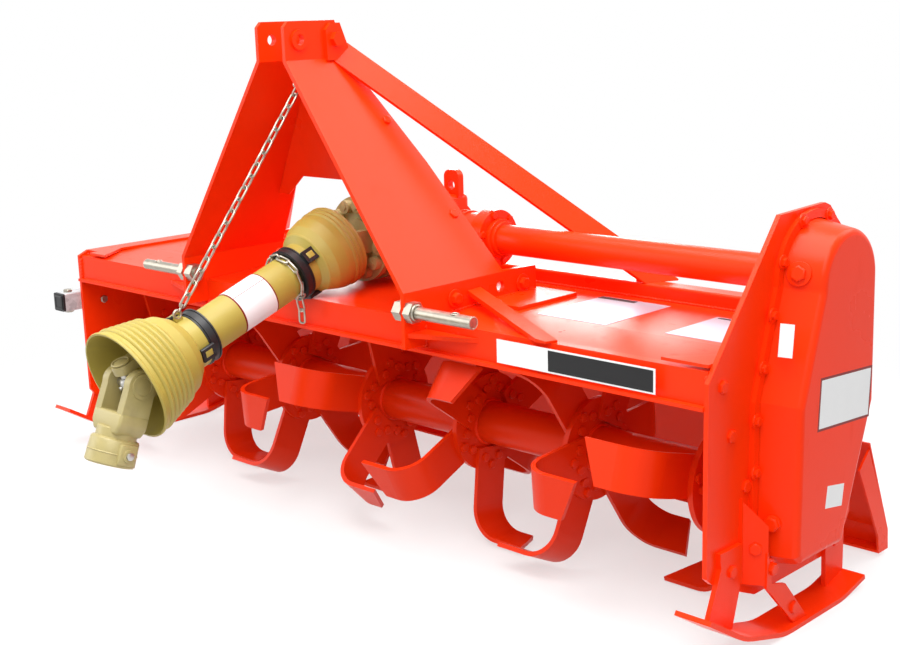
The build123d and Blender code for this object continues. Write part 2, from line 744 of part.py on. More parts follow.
# ---------------------------------------------------------------- tail board
GATE_HALF = FRAME_HALF - 7.0
GATE_WIDE = FRAME_HALF + 11.0
GATE_LINE = [
    # (y, z) down the back of the tail board
    (GATE_HINGE_Y + 20, GATE_HINGE_Z - 12),
    (478.0, 225.0),
    (555.0, 46.0),
    (GATE_REACH, 8.0),
]
RETURN_W = 34.0
KNUCKLES = [
    # (first x, last x) of each hinge knuckle on the tail board
    (20.0 - GATE_HALF, 130.0 - GATE_HALF),
    (-440.0, -330.0),
    (330.0, 440.0),
    (GATE_HALF - 130.0, GATE_HALF - 20.0),
]
with BuildPart() as tail_board:
    with BuildSketch(yz(-GATE_HALF)):
        with BuildLine():
            Polyline(
                GATE_LINE[0],
                GATE_LINE[1],
                (GATE_LINE[1][0] - GATE_T, GATE_LINE[1][1]),
                (GATE_LINE[0][0] - GATE_T, GATE_LINE[0][1]),
                close=True,
            )
        make_face()
    extrude(amount=2 * GATE_HALF)
    with BuildSketch(yz(-GATE_WIDE)):
        with BuildLine():
            Polyline(
                GATE_LINE[1],
                GATE_LINE[2],
                GATE_LINE[3],
                (GATE_LINE[3][0] - RETURN_W, GATE_LINE[3][1]),
                (GATE_LINE[3][0] - RETURN_W, GATE_LINE[3][1] + GATE_T),
                (GATE_LINE[3][0] - GATE_T, GATE_LINE[3][1] + GATE_T),
                (GATE_LINE[2][0] - GATE_T, GATE_LINE[2][1]),
                (GATE_LINE[1][0] - GATE_T, GATE_LINE[1][1]),
                close=True,
            )
        make_face()
    extrude(amount=2 * GATE_WIDE)
    for x0 in (-GATE_WIDE, GATE_WIDE - GATE_T):
        with BuildSketch(yz(x0)):
            with BuildLine():
                Polyline(
                    (GATE_LINE[1][0] - 2, GATE_LINE[1][1] - 12),
                    (GATE_LINE[2][0] - 2, GATE_LINE[2][1]),
                    (GATE_LINE[3][0] - 2, GATE_LINE[3][1] + 2),
                    (GATE_LINE[3][0] - RETURN_W, GATE_LINE[3][1] + 2),
                    (GATE_LINE[2][0] - RETURN_W, GATE_LINE[2][1] - 6),
                    (GATE_LINE[1][0] - RETURN_W, GATE_LINE[1][1] - 42),
                    close=True,
                )
            make_face()
        extrude(amount=GATE_T)
    for x0, x1 in KNUCKLES:
        with BuildSketch(across(x0, GATE_HINGE_Y, GATE_HINGE_Z)):
            Circle(KNUCKLE_R)
            with BuildLine():
                Polyline((0, -12), (17, -26), (19, -13), (9, -4), close=True)
            make_face()
        extrude(amount=x1 - x0)
        with BuildSketch(across(x0, GATE_HINGE_Y, GATE_HINGE_Z)):
            Circle(HINGE_ROD_R + HINGE_FIT)
        extrude(amount=x1 - x0, mode=Mode.SUBTRACT)
save(tail_board.part, "tail_board")

with BuildPart() as hinge_rod:
    with BuildSketch(across(-FRAME_HALF + 12, GATE_HINGE_Y, GATE_HINGE_Z)):
        Circle(HINGE_ROD_R)
    extrude(amount=2 * FRAME_HALF - 24)
save(hinge_rod.part, "hinge_rod")

LUGS = [8.0 - GATE_HALF, -600.0, -200.0, 192.0, 592.0, GATE_HALF - 16.0]
LUG_T = 8.0
with BuildPart() as hinge_lugs:
    for x0 in LUGS:
        with BuildSketch(yz(x0)):
            with BuildLine():
                Polyline(
                    (HOOD_END_Y + 0.2, HOOD_END_Z),
                    (HOOD_END_Y + 2.5, HOOD_END_Z + 34),
                    (GATE_HINGE_Y + 6, GATE_HINGE_Z + 16),
                    (GATE_HINGE_Y + 13, GATE_HINGE_Z + 6),
                    (GATE_HINGE_Y + 13, GATE_HINGE_Z - 5),
                    (GATE_HINGE_Y + 5, GATE_HINGE_Z - 13),
                    (GATE_HINGE_Y - 9, GATE_HINGE_Z - 13),
                    (GATE_HINGE_Y - 21, GATE_HINGE_Z + 18),
                    (HOOD_END_Y + 0.2, GATE_HINGE_Z + 18),
                    close=True,
                )
            make_face()
            with Locations((GATE_HINGE_Y, GATE_HINGE_Z)):
                Circle(HINGE_ROD_R + 0.1, mode=Mode.SUBTRACT)
        extrude(amount=LUG_T)
    with BuildSketch(yz(-FRAME_HALF)):
        with BuildLine():
            Polyline(
                (BEAM_REAR, BEAM_TOP - 10),
                (BEAM_REAR + 18, BEAM_TOP - 16),
                (HOOD_END_Y, HOOD_END_Z),
                (HOOD_END_Y - 60, HOOD_END_Z),
                (BEAM_REAR - 40, BEAM_TOP - 15),
                close=True,
            )
        make_face()
    extrude(amount=2 * FRAME_HALF, mode=Mode.SUBTRACT)
save(hinge_lugs.part, "hinge_lugs")

# ---------------------------------------------------------------- rotor
ROTOR_END = FRAME_HALF - 30.0
with BuildPart() as rotor_shaft:
    with BuildSketch(across(-ROTOR_END, ROTOR_Y, ROTOR_Z)):
        Circle(ROTOR_TUBE_R)
    extrude(amount=2 * ROTOR_END)
    for x0, length in ((-ROTOR_END, 12), (ROTOR_END - 12, 12)):
        with BuildSketch(across(x0, ROTOR_Y, ROTOR_Z)):
            Circle(58)
        extrude(amount=length)
    with BuildSketch(across(-FRAME_HALF - END_T - 3, ROTOR_Y, ROTOR_Z)):
        Circle(18)
    extrude(amount=2 * (FRAME_HALF + END_T + 3))
save(rotor_shaft.part, "rotor_shaft")

FIRST_FLANGE = -(FLANGE_COUNT - 1) / 2 * FLANGE_PITCH
with BuildPart() as rotor_flanges:
    for k in range(FLANGE_COUNT):
        with BuildSketch(across(FIRST_FLANGE + k * FLANGE_PITCH - FLANGE_T / 2, ROTOR_Y, ROTOR_Z)):
            Circle(FLANGE_R)
            Circle(ROTOR_TUBE_R + 0.1, mode=Mode.SUBTRACT)
        extrude(amount=FLANGE_T)
save(rotor_flanges.part, "rotor_flanges")

# blade: shank flat on the flange, then bent over sideways, with a slanted end
TINE_T = 8.0
TINE_W = 72.0
TINE_ROOT = 46.0
BEND_R = 56.0             # outer radius of the bend
BLADE = 122.0             # sideways reach of the blade from the flange
TIP_SLANT = 34.0          # how much shorter the trailing corner is
TINE_TOP = math.sqrt(TINE_R**2 - (TINE_W / 2) ** 2)
TINES_A_SIDE = 3          # on each face of a flange
FLANGE_STEP = 40.0        # turn of each flange after the one before, degrees
FIRST_TURN = 14.0
with BuildPart() as blade:
    with BuildSketch(Plane.XZ.offset(-TINE_W / 2)):
        with BuildLine():
            Line((0.1, TINE_ROOT), (0.1, TINE_TOP - BEND_R))
            RadiusArc((0.1, TINE_TOP - BEND_R), (BEND_R, TINE_TOP), BEND_R)
            Line((BEND_R, TINE_TOP), (BLADE, TINE_TOP))
            Line((BLADE, TINE_TOP), (BLADE, TINE_TOP - TINE_T))
            Line((BLADE, TINE_TOP - TINE_T), (BEND_R, TINE_TOP - TINE_T))
            RadiusArc(
                (BEND_R, TINE_TOP - TINE_T),
                (0.1 + TINE_T, TINE_TOP - BEND_R),
                TINE_T - BEND_R,
            )
            Line((0.1 + TINE_T, TINE_TOP - BEND_R), (0.1 + TINE_T, TINE_ROOT))
            Line((0.1 + TINE_T, TINE_ROOT), (0.1, TINE_ROOT))
        make_face()
    extrude(amount=TINE_W)
    with BuildSketch(Plane.XY):
        with BuildLine():
            Polyline(
                (BLADE - TIP_SLANT, -TINE_W / 2 - 1),
                (BLADE + 1, -TINE_W / 2 - 1),
                (BLADE + 1, TINE_W / 2 + 1),
                (BLADE, TINE_W / 2 + 1),
                close=True,
            )
        make_face()
    extrude(amount=TINE_R + 1, mode=Mode.SUBTRACT)

for side, name in ((1, "tines_right"), (-1, "tines_left")):
    hand = blade.part if side > 0 else mirror(blade.part, about=Plane.YZ, mode=Mode.PRIVATE)
    with BuildPart() as tines:
        for flange in range(FLANGE_COUNT):
            # the end flanges carry blades on their inner face only
            if flange == (FLANGE_COUNT - 1 if side > 0 else 0):
                continue
            face = FIRST_FLANGE + flange * FLANGE_PITCH + side * FLANGE_T / 2
            for k in range(TINES_A_SIDE):
                turn = FIRST_TURN + flange * FLANGE_STEP + (k + (side < 0) / 2) * 360 / TINES_A_SIDE
                with Locations(Location((face, ROTOR_Y, ROTOR_Z), (turn, 0, 0))):
                    add(hand)
    save(tines.part, name)

# ---------------------------------------------------------------- rotor bearing on the free end
with BuildPart() as end_bearing:
    with BuildSketch(across(-FRAME_HALF - END_T, ROTOR_Y, ROTOR_Z)):
        Circle(62)
        Circle(18.05, mode=Mode.SUBTRACT)
    extrude(amount=-14)
save(end_bearing.part, "end_bearing")

# ---------------------------------------------------------------- friction clutch
with BuildPart() as friction_clutch:
    for y0, length, radius in (
        # rear face, length and radius of each round step, rear to front
        (BOX_Y0 + 18, 36.0, INPUT_R),
        (CLUTCH_FRONT + 48, 2.0, 44.0),
        (CLUTCH_FRONT + 46, 12.0, CLUTCH_R),
        (CLUTCH_FRONT + 34, 22.0, CLUTCH_R - 10),
        (CLUTCH_FRONT + 12, 12.0, CLUTCH_R),
        (CLUTCH_FRONT, 6.0, 40.0),
    ):
        with BuildSketch(facing_y(y0)):
            Circle(radius)
        extrude(amount=length)
    for side in (1, -1):
        with BuildSketch(Plane(origin=(HITCH_X + side * EAR_IN, 0, 0), x_dir=(0, 1, 0), z_dir=(1, 0, 0))):
            with Locations((JOINT_Y, DRIVE_Z)):
                Circle(EAR_W)
            with Locations(((JOINT_Y + CLUTCH_FRONT) / 2, DRIVE_Z)):
                Rectangle(CLUTCH_FRONT - JOINT_Y, 2 * EAR_W)
        extrude(amount=side * (EAR_OUT - EAR_IN))
save(friction_clutch.part, "friction_clutch")

# ---------------------------------------------------------------- rear half of the driveline
with BuildPart() as rear_shield:
    with BuildSketch(Plane(origin=(HITCH_X, JOINT_Y, DRIVE_Z), x_dir=SHAFT_DIR, z_dir=(1, 0, 0))):
        with BuildLine():
            Polyline(
                (6, REAR_BELL_R),
                (52, REAR_BELL_R),
                (74, REAR_BELL_R - 5),
                (92, REAR_BELL_R - 16),
                (100, NECK_R - 1),
                (118, NECK_R - 1),
                (118, SHIELD_IN_R),
                (372, SHIELD_IN_R),
                (372, SHIELD_IN_R - SHIELD_T),
                (114, SHIELD_IN_R - SHIELD_T),
                (114, NECK_R - 1 - BELL_T),
                (98, NECK_R - 1 - BELL_T),
                (90, REAR_BELL_R - 16 - BELL_T),
                (73, REAR_BELL_R - 5 - BELL_T),
                (51, REAR_BELL_R - BELL_T),
                (6, REAR_BELL_R - BELL_T),
                close=True,
            )
        make_face()
    revolve(axis=Axis((HITCH_X, JOINT_Y, DRIVE_Z), SHAFT_DIR))
    # the bell is cut away underneath, where it passes over the deck
    relief = DECK_Z + DECK_T + 7
    with BuildSketch(Plane.XY.offset(relief)):
        with Locations((HITCH_X, JOINT_Y - 17)):
            Rectangle(2 * REAR_BELL_R, 108)
    extrude(amount=-60, mode=Mode.SUBTRACT)
save(rear_shield.part, "rear_shield")

with BuildPart() as rear_collar:
    with BuildSketch(on_shaft(118.2)):
        Circle(COLLAR_R)
        Circle(SHIELD_IN_R + 0.2, mode=Mode.SUBTRACT)
    extrude(amount=20)
save(rear_collar.part, "rear_collar")

with BuildPart() as rear_shaft:
    with BuildSketch(on_shaft(58)):
        Circle(SHAFT_TUBE_R)
    extrude(amount=272)
    with BuildSketch(on_shaft(44)):
        Circle(32)
    extrude(amount=18)
    for side in (1, -1):
        with BuildSketch(Plane(origin=(HITCH_X, JOINT_Y, DRIVE_Z), x_dir=SHAFT_DIR, z_dir=SHAFT_UP)
                         .offset(side * EAR_IN)):
            Circle(EAR_SLIM)
            with Locations((25, 0)):
                Rectangle(50, 2 * EAR_SLIM)
        extrude(amount=side * (EAR_OUT - EAR_IN - 8))
    with BuildSketch(on_shaft(90)):
        Circle(SHAFT_R + SLIDE_FIT)
    extrude(amount=300, mode=Mode.SUBTRACT)
    with Locations((HITCH_X, JOINT_Y, DRIVE_Z)):
        Sphere(17)
    for side in (1, -1):
        with BuildSketch(Plane(origin=(HITCH_X, JOINT_Y, DRIVE_Z), x_dir=SHAFT_DIR, z_dir=SHAFT_UP)
                         .offset(side * 10)):
            Circle(9)
        extrude(amount=side * (EAR_IN - 8))
save(rear_shaft.part, "rear_shaft")

# ---------------------------------------------------------------- front half of the driveline
MOUTH = JOINT_GAP + 10
with BuildPart() as front_shield:
    with BuildSketch(Plane(origin=(HITCH_X, JOINT_Y, DRIVE_Z), x_dir=SHAFT_DIR, z_dir=(1, 0, 0))):
        with BuildLine():
            Polyline(
                (142, SHIELD_R),
                (376, SHIELD_R),
                (376, NECK_R),
                (398, NECK_R),
                (406, NECK_R + 12),
                (424, NECK_R + 26),
                (452, NECK_R + 34),
                (MOUTH, FRONT_BELL_R),
                (MOUTH, FRONT_BELL_R - BELL_T),
                (452, NECK_R + 34 - BELL_T),
                (425, NECK_R + 26 - BELL_T),
                (408, NECK_R + 12 - BELL_T),
                (400, NECK_R - BELL_T),
                (380, NECK_R - BELL_T),
                (380, SHIELD_IN_R + SHIELD_GAP),
                (142, SHIELD_IN_R + SHIELD_GAP),
                close=True,
            )
        make_face()
    revolve(axis=Axis((HITCH_X, JOINT_Y, DRIVE_Z), SHAFT_DIR))
save(front_shield.part, "front_shield")

with BuildPart() as front_collar:
    with BuildSketch(on_shaft(354)):
        Circle(COLLAR_R)
        Circle(SHIELD_R + 0.1, mode=Mode.SUBTRACT)
    extrude(amount=21.8)
save(front_collar.part, "front_collar")

HUB_BACK = 62.0           # joint centre to the hub of a yoke
with BuildPart() as front_shaft:
    with BuildSketch(on_shaft(125)):
        Circle(SHAFT_R)
    extrude(amount=JOINT_GAP - HUB_BACK - 125)
    with BuildSketch(on_shaft(JOINT_GAP - HUB_BACK - 24)):
        Circle(32)
    extrude(amount=24)
    for side in (1, -1):
        with BuildSketch(Plane(origin=(HITCH_X, FRONT_Y, FRONT_Z), x_dir=SHAFT_DIR, z_dir=SHAFT_UP)
                         .offset(side * EAR_IN)):
            Circle(EAR_SLIM)
            with Locations((-HUB_BACK / 2 - 6, 0)):
                Rectangle(HUB_BACK + 12, 2 * EAR_SLIM)
            Circle(CROSS_R + TRUNNION_FIT, mode=Mode.SUBTRACT)
        extrude(amount=side * (EAR_OUT - EAR_IN))
    with BuildSketch(on_shaft(JOINT_GAP - HUB_BACK - 12)):
        Circle(42)
        Circle(30, mode=Mode.SUBTRACT)
    extrude(amount=12)
save(front_shaft.part, "front_shaft")

with BuildPart() as front_cross:
    with Locations((HITCH_X, FRONT_Y, FRONT_Z)):
        Sphere(17)
    with BuildSketch(across(HITCH_X, FRONT_Y, FRONT_Z)):
        Circle(CROSS_R)
    extrude(amount=EAR_OUT - 2, both=True)
    with BuildSketch(Plane(origin=(HITCH_X, FRONT_Y, FRONT_Z), x_dir=SHAFT_DIR, z_dir=SHAFT_UP)):
        Circle(CROSS_R)
    extrude(amount=EAR_OUT - 2, both=True)
save(front_cross.part, "front_cross")

YOKE_STEPS = [
    # (length, radius) of each round step from the ears down to the mouth
    (20.0, 47.0),
    (12.0, 37.0),
    (8.0, 41.0),
    (YOKE_LEN - HUB_BACK - 40, YOKE_MOUTH_R),
]
YOKE_BORE = 60.0          # depth of the splined bore


def beside_joint(x):
    """Plane beside the front joint, x from the hitch centre; local x points to the mouth."""
    return Plane(origin=(HITCH_X + x, FRONT_Y, FRONT_Z), x_dir=YOKE_DIR, z_dir=(1, 0, 0))


with BuildPart() as tractor_yoke:
    reached = HUB_BACK
    for length, radius in YOKE_STEPS:
        with BuildSketch(on_yoke(reached)):
            Circle(radius)
        extrude(amount=length)
        reached += length
    for side in (1, -1):
        with BuildSketch(beside_joint(side * EAR_IN)):
            Circle(EAR_W)
            with Locations((HUB_BACK / 2 + 5, 0)):
                Rectangle(HUB_BACK + 10, 2 * EAR_W)
            Circle(CROSS_R + TRUNNION_FIT, mode=Mode.SUBTRACT)
        extrude(amount=side * (EAR_OUT - EAR_IN))
        with BuildSketch(beside_joint(side * EAR_BOSS)):
            Circle(EAR_R)
            Circle(CROSS_R + TRUNNION_FIT, mode=Mode.SUBTRACT)
        extrude(amount=side * (EAR_OUT + 2 - EAR_BOSS))
    with BuildSketch(on_yoke(YOKE_LEN)):
        Circle(BORE_R)
    extrude(amount=-YOKE_BORE, mode=Mode.SUBTRACT)
save(tractor_yoke.part, "tractor_yoke")

# ---------------------------------------------------------------- stay chain, eye to hook
CHAIN_X = HITCH_X + 46
CHAIN_TOP = Vector(CHAIN_X, -25, 850)
CHAIN_HOOK = Vector(HITCH_X + 6, -298, 466)
chain_run = (CHAIN_HOOK - CHAIN_TOP).normalized()
CHAIN_LEN = (CHAIN_HOOK - CHAIN_TOP).length
with BuildPart() as stay_chain:
    with BuildSketch(Plane(origin=CHAIN_TOP + chain_run * 11, z_dir=chain_run)):
        Circle(4)
    extrude(amount=CHAIN_LEN - 11)
    with BuildSketch(across(CHAIN_X - 3, CHAIN_TOP.Y, CHAIN_TOP.Z)):
        Circle(12)
        Circle(6.4, mode=Mode.SUBTRACT)
    extrude(amount=6)
save(stay_chain.part, "stay_chain")

with BuildPart() as chain_eye:
    with BuildSketch(across(CHAIN_X - 14, CHAIN_TOP.Y, CHAIN_TOP.Z)):
        Circle(6)
    extrude(amount=60)
    with BuildSketch(xz(HITCH_REAR)):
        with BuildLine():
            Polyline(
                (HITCH_X + MAST_HALF - LEAN_T - 0.1 + (FOLD_TOP_Z - 700) * LEAN, 700),
                (HITCH_X + MAST_HALF - LEAN_T - 0.1 + (FOLD_TOP_Z - 893) * LEAN, 893),
                (HITCH_X + 200, 893),
                (HITCH_X + 200, 700),
                close=True,
            )
        make_face()
    extrude(amount=500, mode=Mode.SUBTRACT)
save(chain_eye.part, "chain_eye")
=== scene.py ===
"""Rotary tiller: finishes, fixings, welds, labels and driveline details on the CAD frame."""
import json
import math

import bpy
from bpy.props import FloatProperty, FloatVectorProperty, IntProperty, PointerProperty
from mathutils import Matrix, Vector

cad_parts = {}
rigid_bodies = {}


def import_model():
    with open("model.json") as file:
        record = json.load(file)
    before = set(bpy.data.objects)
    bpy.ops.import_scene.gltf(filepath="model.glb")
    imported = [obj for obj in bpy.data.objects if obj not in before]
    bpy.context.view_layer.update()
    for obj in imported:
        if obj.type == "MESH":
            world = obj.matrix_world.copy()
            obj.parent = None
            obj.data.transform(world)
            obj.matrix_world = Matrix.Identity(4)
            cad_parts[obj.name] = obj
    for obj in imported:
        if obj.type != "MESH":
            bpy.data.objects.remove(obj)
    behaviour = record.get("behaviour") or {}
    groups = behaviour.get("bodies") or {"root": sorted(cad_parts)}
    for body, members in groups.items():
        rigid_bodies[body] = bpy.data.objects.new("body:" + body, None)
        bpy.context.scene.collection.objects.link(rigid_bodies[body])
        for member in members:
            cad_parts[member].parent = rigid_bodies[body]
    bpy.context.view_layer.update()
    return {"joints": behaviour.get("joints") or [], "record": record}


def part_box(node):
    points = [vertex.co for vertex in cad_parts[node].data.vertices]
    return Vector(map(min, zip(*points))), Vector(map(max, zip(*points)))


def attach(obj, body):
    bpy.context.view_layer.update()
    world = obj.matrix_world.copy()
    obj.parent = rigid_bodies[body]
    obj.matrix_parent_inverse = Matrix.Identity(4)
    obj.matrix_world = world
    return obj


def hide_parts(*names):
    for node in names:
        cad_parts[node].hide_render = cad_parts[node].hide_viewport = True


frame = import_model()
bpy.ops.object.select_all(action="DESELECT")

bl_info = {
    "name": "Rotary tiller",
    "version": (1, 0, 0),
    "blender": (4, 5, 0),
    "location": "3D View > Sidebar > Tiller",
    "description": "Builds the visual model of a tractor-mounted rotary tiller on its CAD frame",
    "category": "Object",
}

# ---- places, from the frame
MM = 0.001
RIGHT, LEFT = Vector((1, 0, 0)), Vector((-1, 0, 0))
FRONT, BACK = Vector((0, -1, 0)), Vector((0, 1, 0))
UP, DOWN = Vector((0, 0, 1)), Vector((0, 0, -1))
DIAGONALS = [(s, t) for s in (-0.707, 0.707) for t in (-0.707, 0.707)]

JOINTS = {j["name"]: j for j in frame["joints"]}
MOUNTS = {m["name"]: m for m in frame["record"]["mounts"]}
SLOTS = {part["material_slot"] for part in frame["record"]["subparts"]}
REAR_JOINT = Vector(JOINTS["driveline_lift"]["pos_m"])
FRONT_JOINT = Vector(JOINTS["yoke_turn"]["pos_m"])
SHAFT_DIR = (FRONT_JOINT - REAR_JOINT).normalized()
SHAFT_UP = SHAFT_DIR.cross(RIGHT)
DRIVELINE = (REAR_JOINT, SHAFT_DIR, SHAFT_UP)
JOINT_GAP = (FRONT_JOINT - REAR_JOINT).length
YOKE_DIR = Vector(MOUNTS["drive_bore"]["axis"])
YOKE_UP = YOKE_DIR.cross(RIGHT)
YOKE = (FRONT_JOINT, YOKE_DIR, YOKE_UP)
HINGE_Y, HINGE_Z = 452, 345
ORIGIN = Vector(JOINTS["tail_board_hinge"]["pos_m"]) - Vector((0, HINGE_Y, HINGE_Z)) * MM
DECK_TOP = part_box("deck_doublers")[0][2]

# Millimetres from the frame's middle, back from the rail's face and above ground, for at().
MAST_X = -50                    # middle of the hitch and of the driveline
FOOT = 325                      # outer faces of the mast plates, from there
PLATE_IN, PLATE_OUT = 857, 865  # faces of the end plates
CROSS_Y, CROSS_Z = 267, 549     # jackshaft
DRIVE_Z = 542                   # input shaft and clutch
CLUTCH_Y = 140                  # front face of the foremost clutch plate
ROTOR_Y, ROTOR_Z = 170, 222
PIN_Y, PIN_Z = -38, 469         # lower hitch pins
DECK_Z = 453                    # upper side of the deck
LIP_X = 873                     # outer face of the chain case's lip
LABEL_X = 936.5                 # labels of the chain case, sunk 0.5 into its outer face


# ---- settings


def size(name, description, default):
    """A length in metres that can be changed in the panel."""
    return FloatProperty(name=name, description=description, default=default, min=0.0, unit="LENGTH")


def colour(name, description, default):
    """A colour that can be changed in the panel."""
    return FloatVectorProperty(
        name=name, description=description, default=default, subtype="COLOR", size=3, min=0.0, max=1.0
    )


class TillerSizes(bpy.types.PropertyGroup):
    """Sizes of the small pieces"""

    bolt_radius: size("Bolt head", "Half width across the corners of the plate bolts", 0.0105)
    small_bolt: size("Small bolt head", "Half width across the corners of the cover bolts", 0.0075)
    weld_radius: size("Weld", "Half width of the weld beads", 0.0035)
    label_lift: size("Label thickness", "How far a label stands off its panel", 0.0006)
    chain_wire: size("Chain wire", "Wire thickness of the stay chain", 0.0042)
    link_pitch: size("Link pitch", "Distance between links of the stay chain", 0.0240)
    bell_ribs: IntProperty(name="Bell ribs", description="Folds of the front bell", default=6, min=2, max=16)
    spring_count: IntProperty(
        name="Clutch springs", description="Springs round the clutch", default=12, min=4, max=12
    )


class TillerColours(bpy.types.PropertyGroup):
    """Colours of the finishes"""

    paint: colour("Paint", "Orange-red powder coat", (0.96, 0.036, 0.0015))
    # the rotor paint is the orange-red paint made darker: painted shade of the rotor under the hood
    rotor_paint: colour("Rotor paint", "Paint of the blades and flanges", (0.76, 0.030, 0.0014))
    guard: colour("Guard plastic", "Driveline guards", (0.415, 0.325, 0.058))
    yoke: colour("Yoke enamel", "Tractor yoke and shaft yokes", (0.43, 0.355, 0.145))
    clutch: colour("Clutch enamel", "Friction clutch", (0.50, 0.455, 0.19))
    black: colour("Black plastic", "Collars and plug", (0.010, 0.010, 0.011))
    zinc: colour("Zinc", "Plated bolts, pins and chain", (0.42, 0.385, 0.32))
    label: colour("Label", "Blank labels", (0.86, 0.86, 0.86))
    paper: colour("Deck label", "Blank labels on the deck", (0.45, 0.45, 0.53))


def sizes():
    return bpy.context.scene.tiller_sizes


def colours():
    return bpy.context.scene.tiller_colours


# ---- materials


class Value:
    """A number or colour socket that takes part in sums."""

    def __init__(self, finish, socket):
        self.finish = finish
        self.socket = socket

    def math(self, operation, first, second):
        """Adds a sum node and gives what comes out of it."""
        return self.finish.node("ShaderNodeMath", {"operation": operation}, {0: first, 1: second})

    def __add__(self, other):
        return self.math("ADD", self, other)

    def __mul__(self, other):
        return self.math("MULTIPLY", self, other)

    __radd__ = __add__
    __rmul__ = __mul__


class Finish:
    """A material with one shader, and the nodes that feed it."""

    def __init__(self, name, **constants):
        self.material = bpy.data.materials.new(name + "_finish")
        self.material.use_nodes = True
        self.tree = self.material.node_tree
        self.shader = self.tree.nodes["Principled BSDF"]
        for key, value in constants.items():
            self.shader.inputs[key.replace("_", " ")].default_value = value
        self.here = self.node("ShaderNodeTexCoord", {}, {}, "Object")

    def node(self, kind, settings, inputs, out=0):
        """Adds a node: its settings first, then its inputs, and gives one of its outputs."""
        new = self.tree.nodes.new(kind)
        for key, value in settings.items():
            if key == "stops":
                for stop, (place, level) in zip(new.color_ramp.elements, value):
                    stop.position = place
                    stop.color = (level, level, level, 1)
            else:
                setattr(new, key, value)
        for key, value in inputs.items():
            if isinstance(value, Value):
                self.tree.links.new(value.socket, new.inputs[key])
            else:
                new.inputs[key].default_value = value
        return Value(self, new.outputs[out])

    def noise(self, scale, detail=3.0, stretch=(1, 1, 1)):
        """Noise from 0 to 1 at a scale in bumps a metre."""
        spot = self.node("ShaderNodeMapping", {}, {"Vector": self.here, "Scale": stretch})
        return self.node("ShaderNodeTexNoise", {}, {"Vector": spot, "Scale": scale, "Detail": detail}, "Fac")

    def cells(self, scale, out="Distance"):
        """A pattern of cells at a scale in cells a metre."""
        return self.node("ShaderNodeTexVoronoi", {}, {"Vector": self.here, "Scale": scale}, out)

    def ramp(self, value, *stops):
        """A value between two (place, level) stops."""
        return self.node("ShaderNodeValToRGB", {"stops": stops}, {"Fac": value})

    def mix(self, mask, first, second):
        """A colour between two, by the mask."""
        return self.node("ShaderNodeMix", {"data_type": "RGBA"}, {"Factor": mask, 6: first, 7: second}, 2)

    def feed(self, key, value):
        """Links a value to one of the shader's inputs."""
        self.tree.links.new(value.socket, self.shader.inputs[key])

    def bump(self, height, distance, strength=1.0):
        """Raises the surface by a height value, over a distance in metres."""
        self.feed("Normal", self.node(
            "ShaderNodeBump", {}, {"Height": height, "Distance": distance, "Strength": strength}
        ))


def shade(rgb, factor):
    """A colour made darker or lighter, with its alpha."""
    return tuple(min(1.0, c * factor) for c in rgb) + (1.0,)


def paint_finish(name, rgb, roughness=0.29):
    """Powder coat: fine orange peel, faint patches of tone and rub marks."""
    f = Finish(name, Specular_IOR_Level=0.17)
    patches = f.noise(5.0, 4.0)
    peel = f.noise(420.0, 2.0)
    rubs = f.ramp(f.noise(38.0, 6.0, (1, 1, 0.35)), (0.60, 0.0), (0.76, 1.0))
    tone = f.mix(patches, shade(rgb, 0.93), shade(rgb, 1.05))
    f.feed("Base Color", f.mix(rubs * 0.14, tone, shade(rgb, 0.74)))
    f.feed("Roughness", patches * 0.10 + rubs * 0.12 + (roughness - 0.05))
    f.bump(peel, 0.0004, 0.45)
    return f.material


def plastic_finish(name, rgb, roughness=0.46):
    """Moulded plastic: fine grain, pale scuffs and a soft sheen."""
    f = Finish(name)
    grain = f.noise(900.0, 2.0)
    scuffs = f.ramp(f.noise(60.0, 7.0, (1, 0.4, 1)), (0.62, 0.0), (0.80, 1.0))
    tone = f.mix(f.noise(9.0, 3.0), shade(rgb, 0.90), shade(rgb, 1.08))
    f.feed("Base Color", f.mix(scuffs * 0.22, tone, shade(rgb, 1.5)))
    f.feed("Roughness", scuffs * 0.16 + grain * 0.06 + (roughness - 0.03))
    f.bump(grain, 0.00012, 0.5)
    return f.material


def cast_finish(name, rgb, roughness=0.42):
    """Enamel on a rough casting."""
    f = Finish(name)
    sand = f.noise(260.0, 6.0)
    grime = f.ramp(f.noise(34.0, 5.0), (0.52, 0.0), (0.74, 1.0))
    f.feed("Base Color", f.mix(grime * 0.35, shade(rgb, 1.03), shade(rgb, 0.62)))
    f.feed("Roughness", sand * 0.14 + (roughness - 0.05))
    f.bump(sand, 0.0005, 0.45)
    return f.material


def zinc_finish(name, rgb, roughness=0.32):
    """Zinc plate: cloudy, with fine turned lines."""
    f = Finish(name)
    cloud = f.noise(75.0, 5.0)
    f.feed("Base Color", f.mix(cloud, shade(rgb, 0.62), shade(rgb, 1.30)))
    f.feed("Metallic", cloud * 0.12 + 0.80)
    f.feed("Roughness", cloud * 0.16 + (roughness - 0.08))
    f.bump(f.noise(1100.0, 2.0), 0.0001, 0.4)
    return f.material


def galvanised_finish(name):
    """Hot-dip zinc: crystal spangle in greys."""
    f = Finish(name)
    spangle = f.cells(150.0, "Color")
    f.feed("Base Color", f.mix(spangle, (0.40, 0.42, 0.43, 1), (0.66, 0.68, 0.69, 1)))
    f.feed("Metallic", f.noise(30.0) * 0.1 + 0.25)
    f.feed("Roughness", f.noise(140.0) * 0.22 + 0.30)
    f.bump(f.cells(150.0), 0.0002, 0.3)
    return f.material


def steel_finish(name):
    """Turned bare steel with a thin film of oil."""
    f = Finish(name, Metallic=0.95)
    lines = f.noise(60.0, 4.0, (30, 1, 1))
    f.feed("Base Color", f.mix(lines, (0.36, 0.35, 0.33, 1), (0.62, 0.61, 0.58, 1)))
    f.feed("Roughness", lines * 0.2 + 0.24)
    f.bump(lines, 0.0001, 0.3)
    return f.material


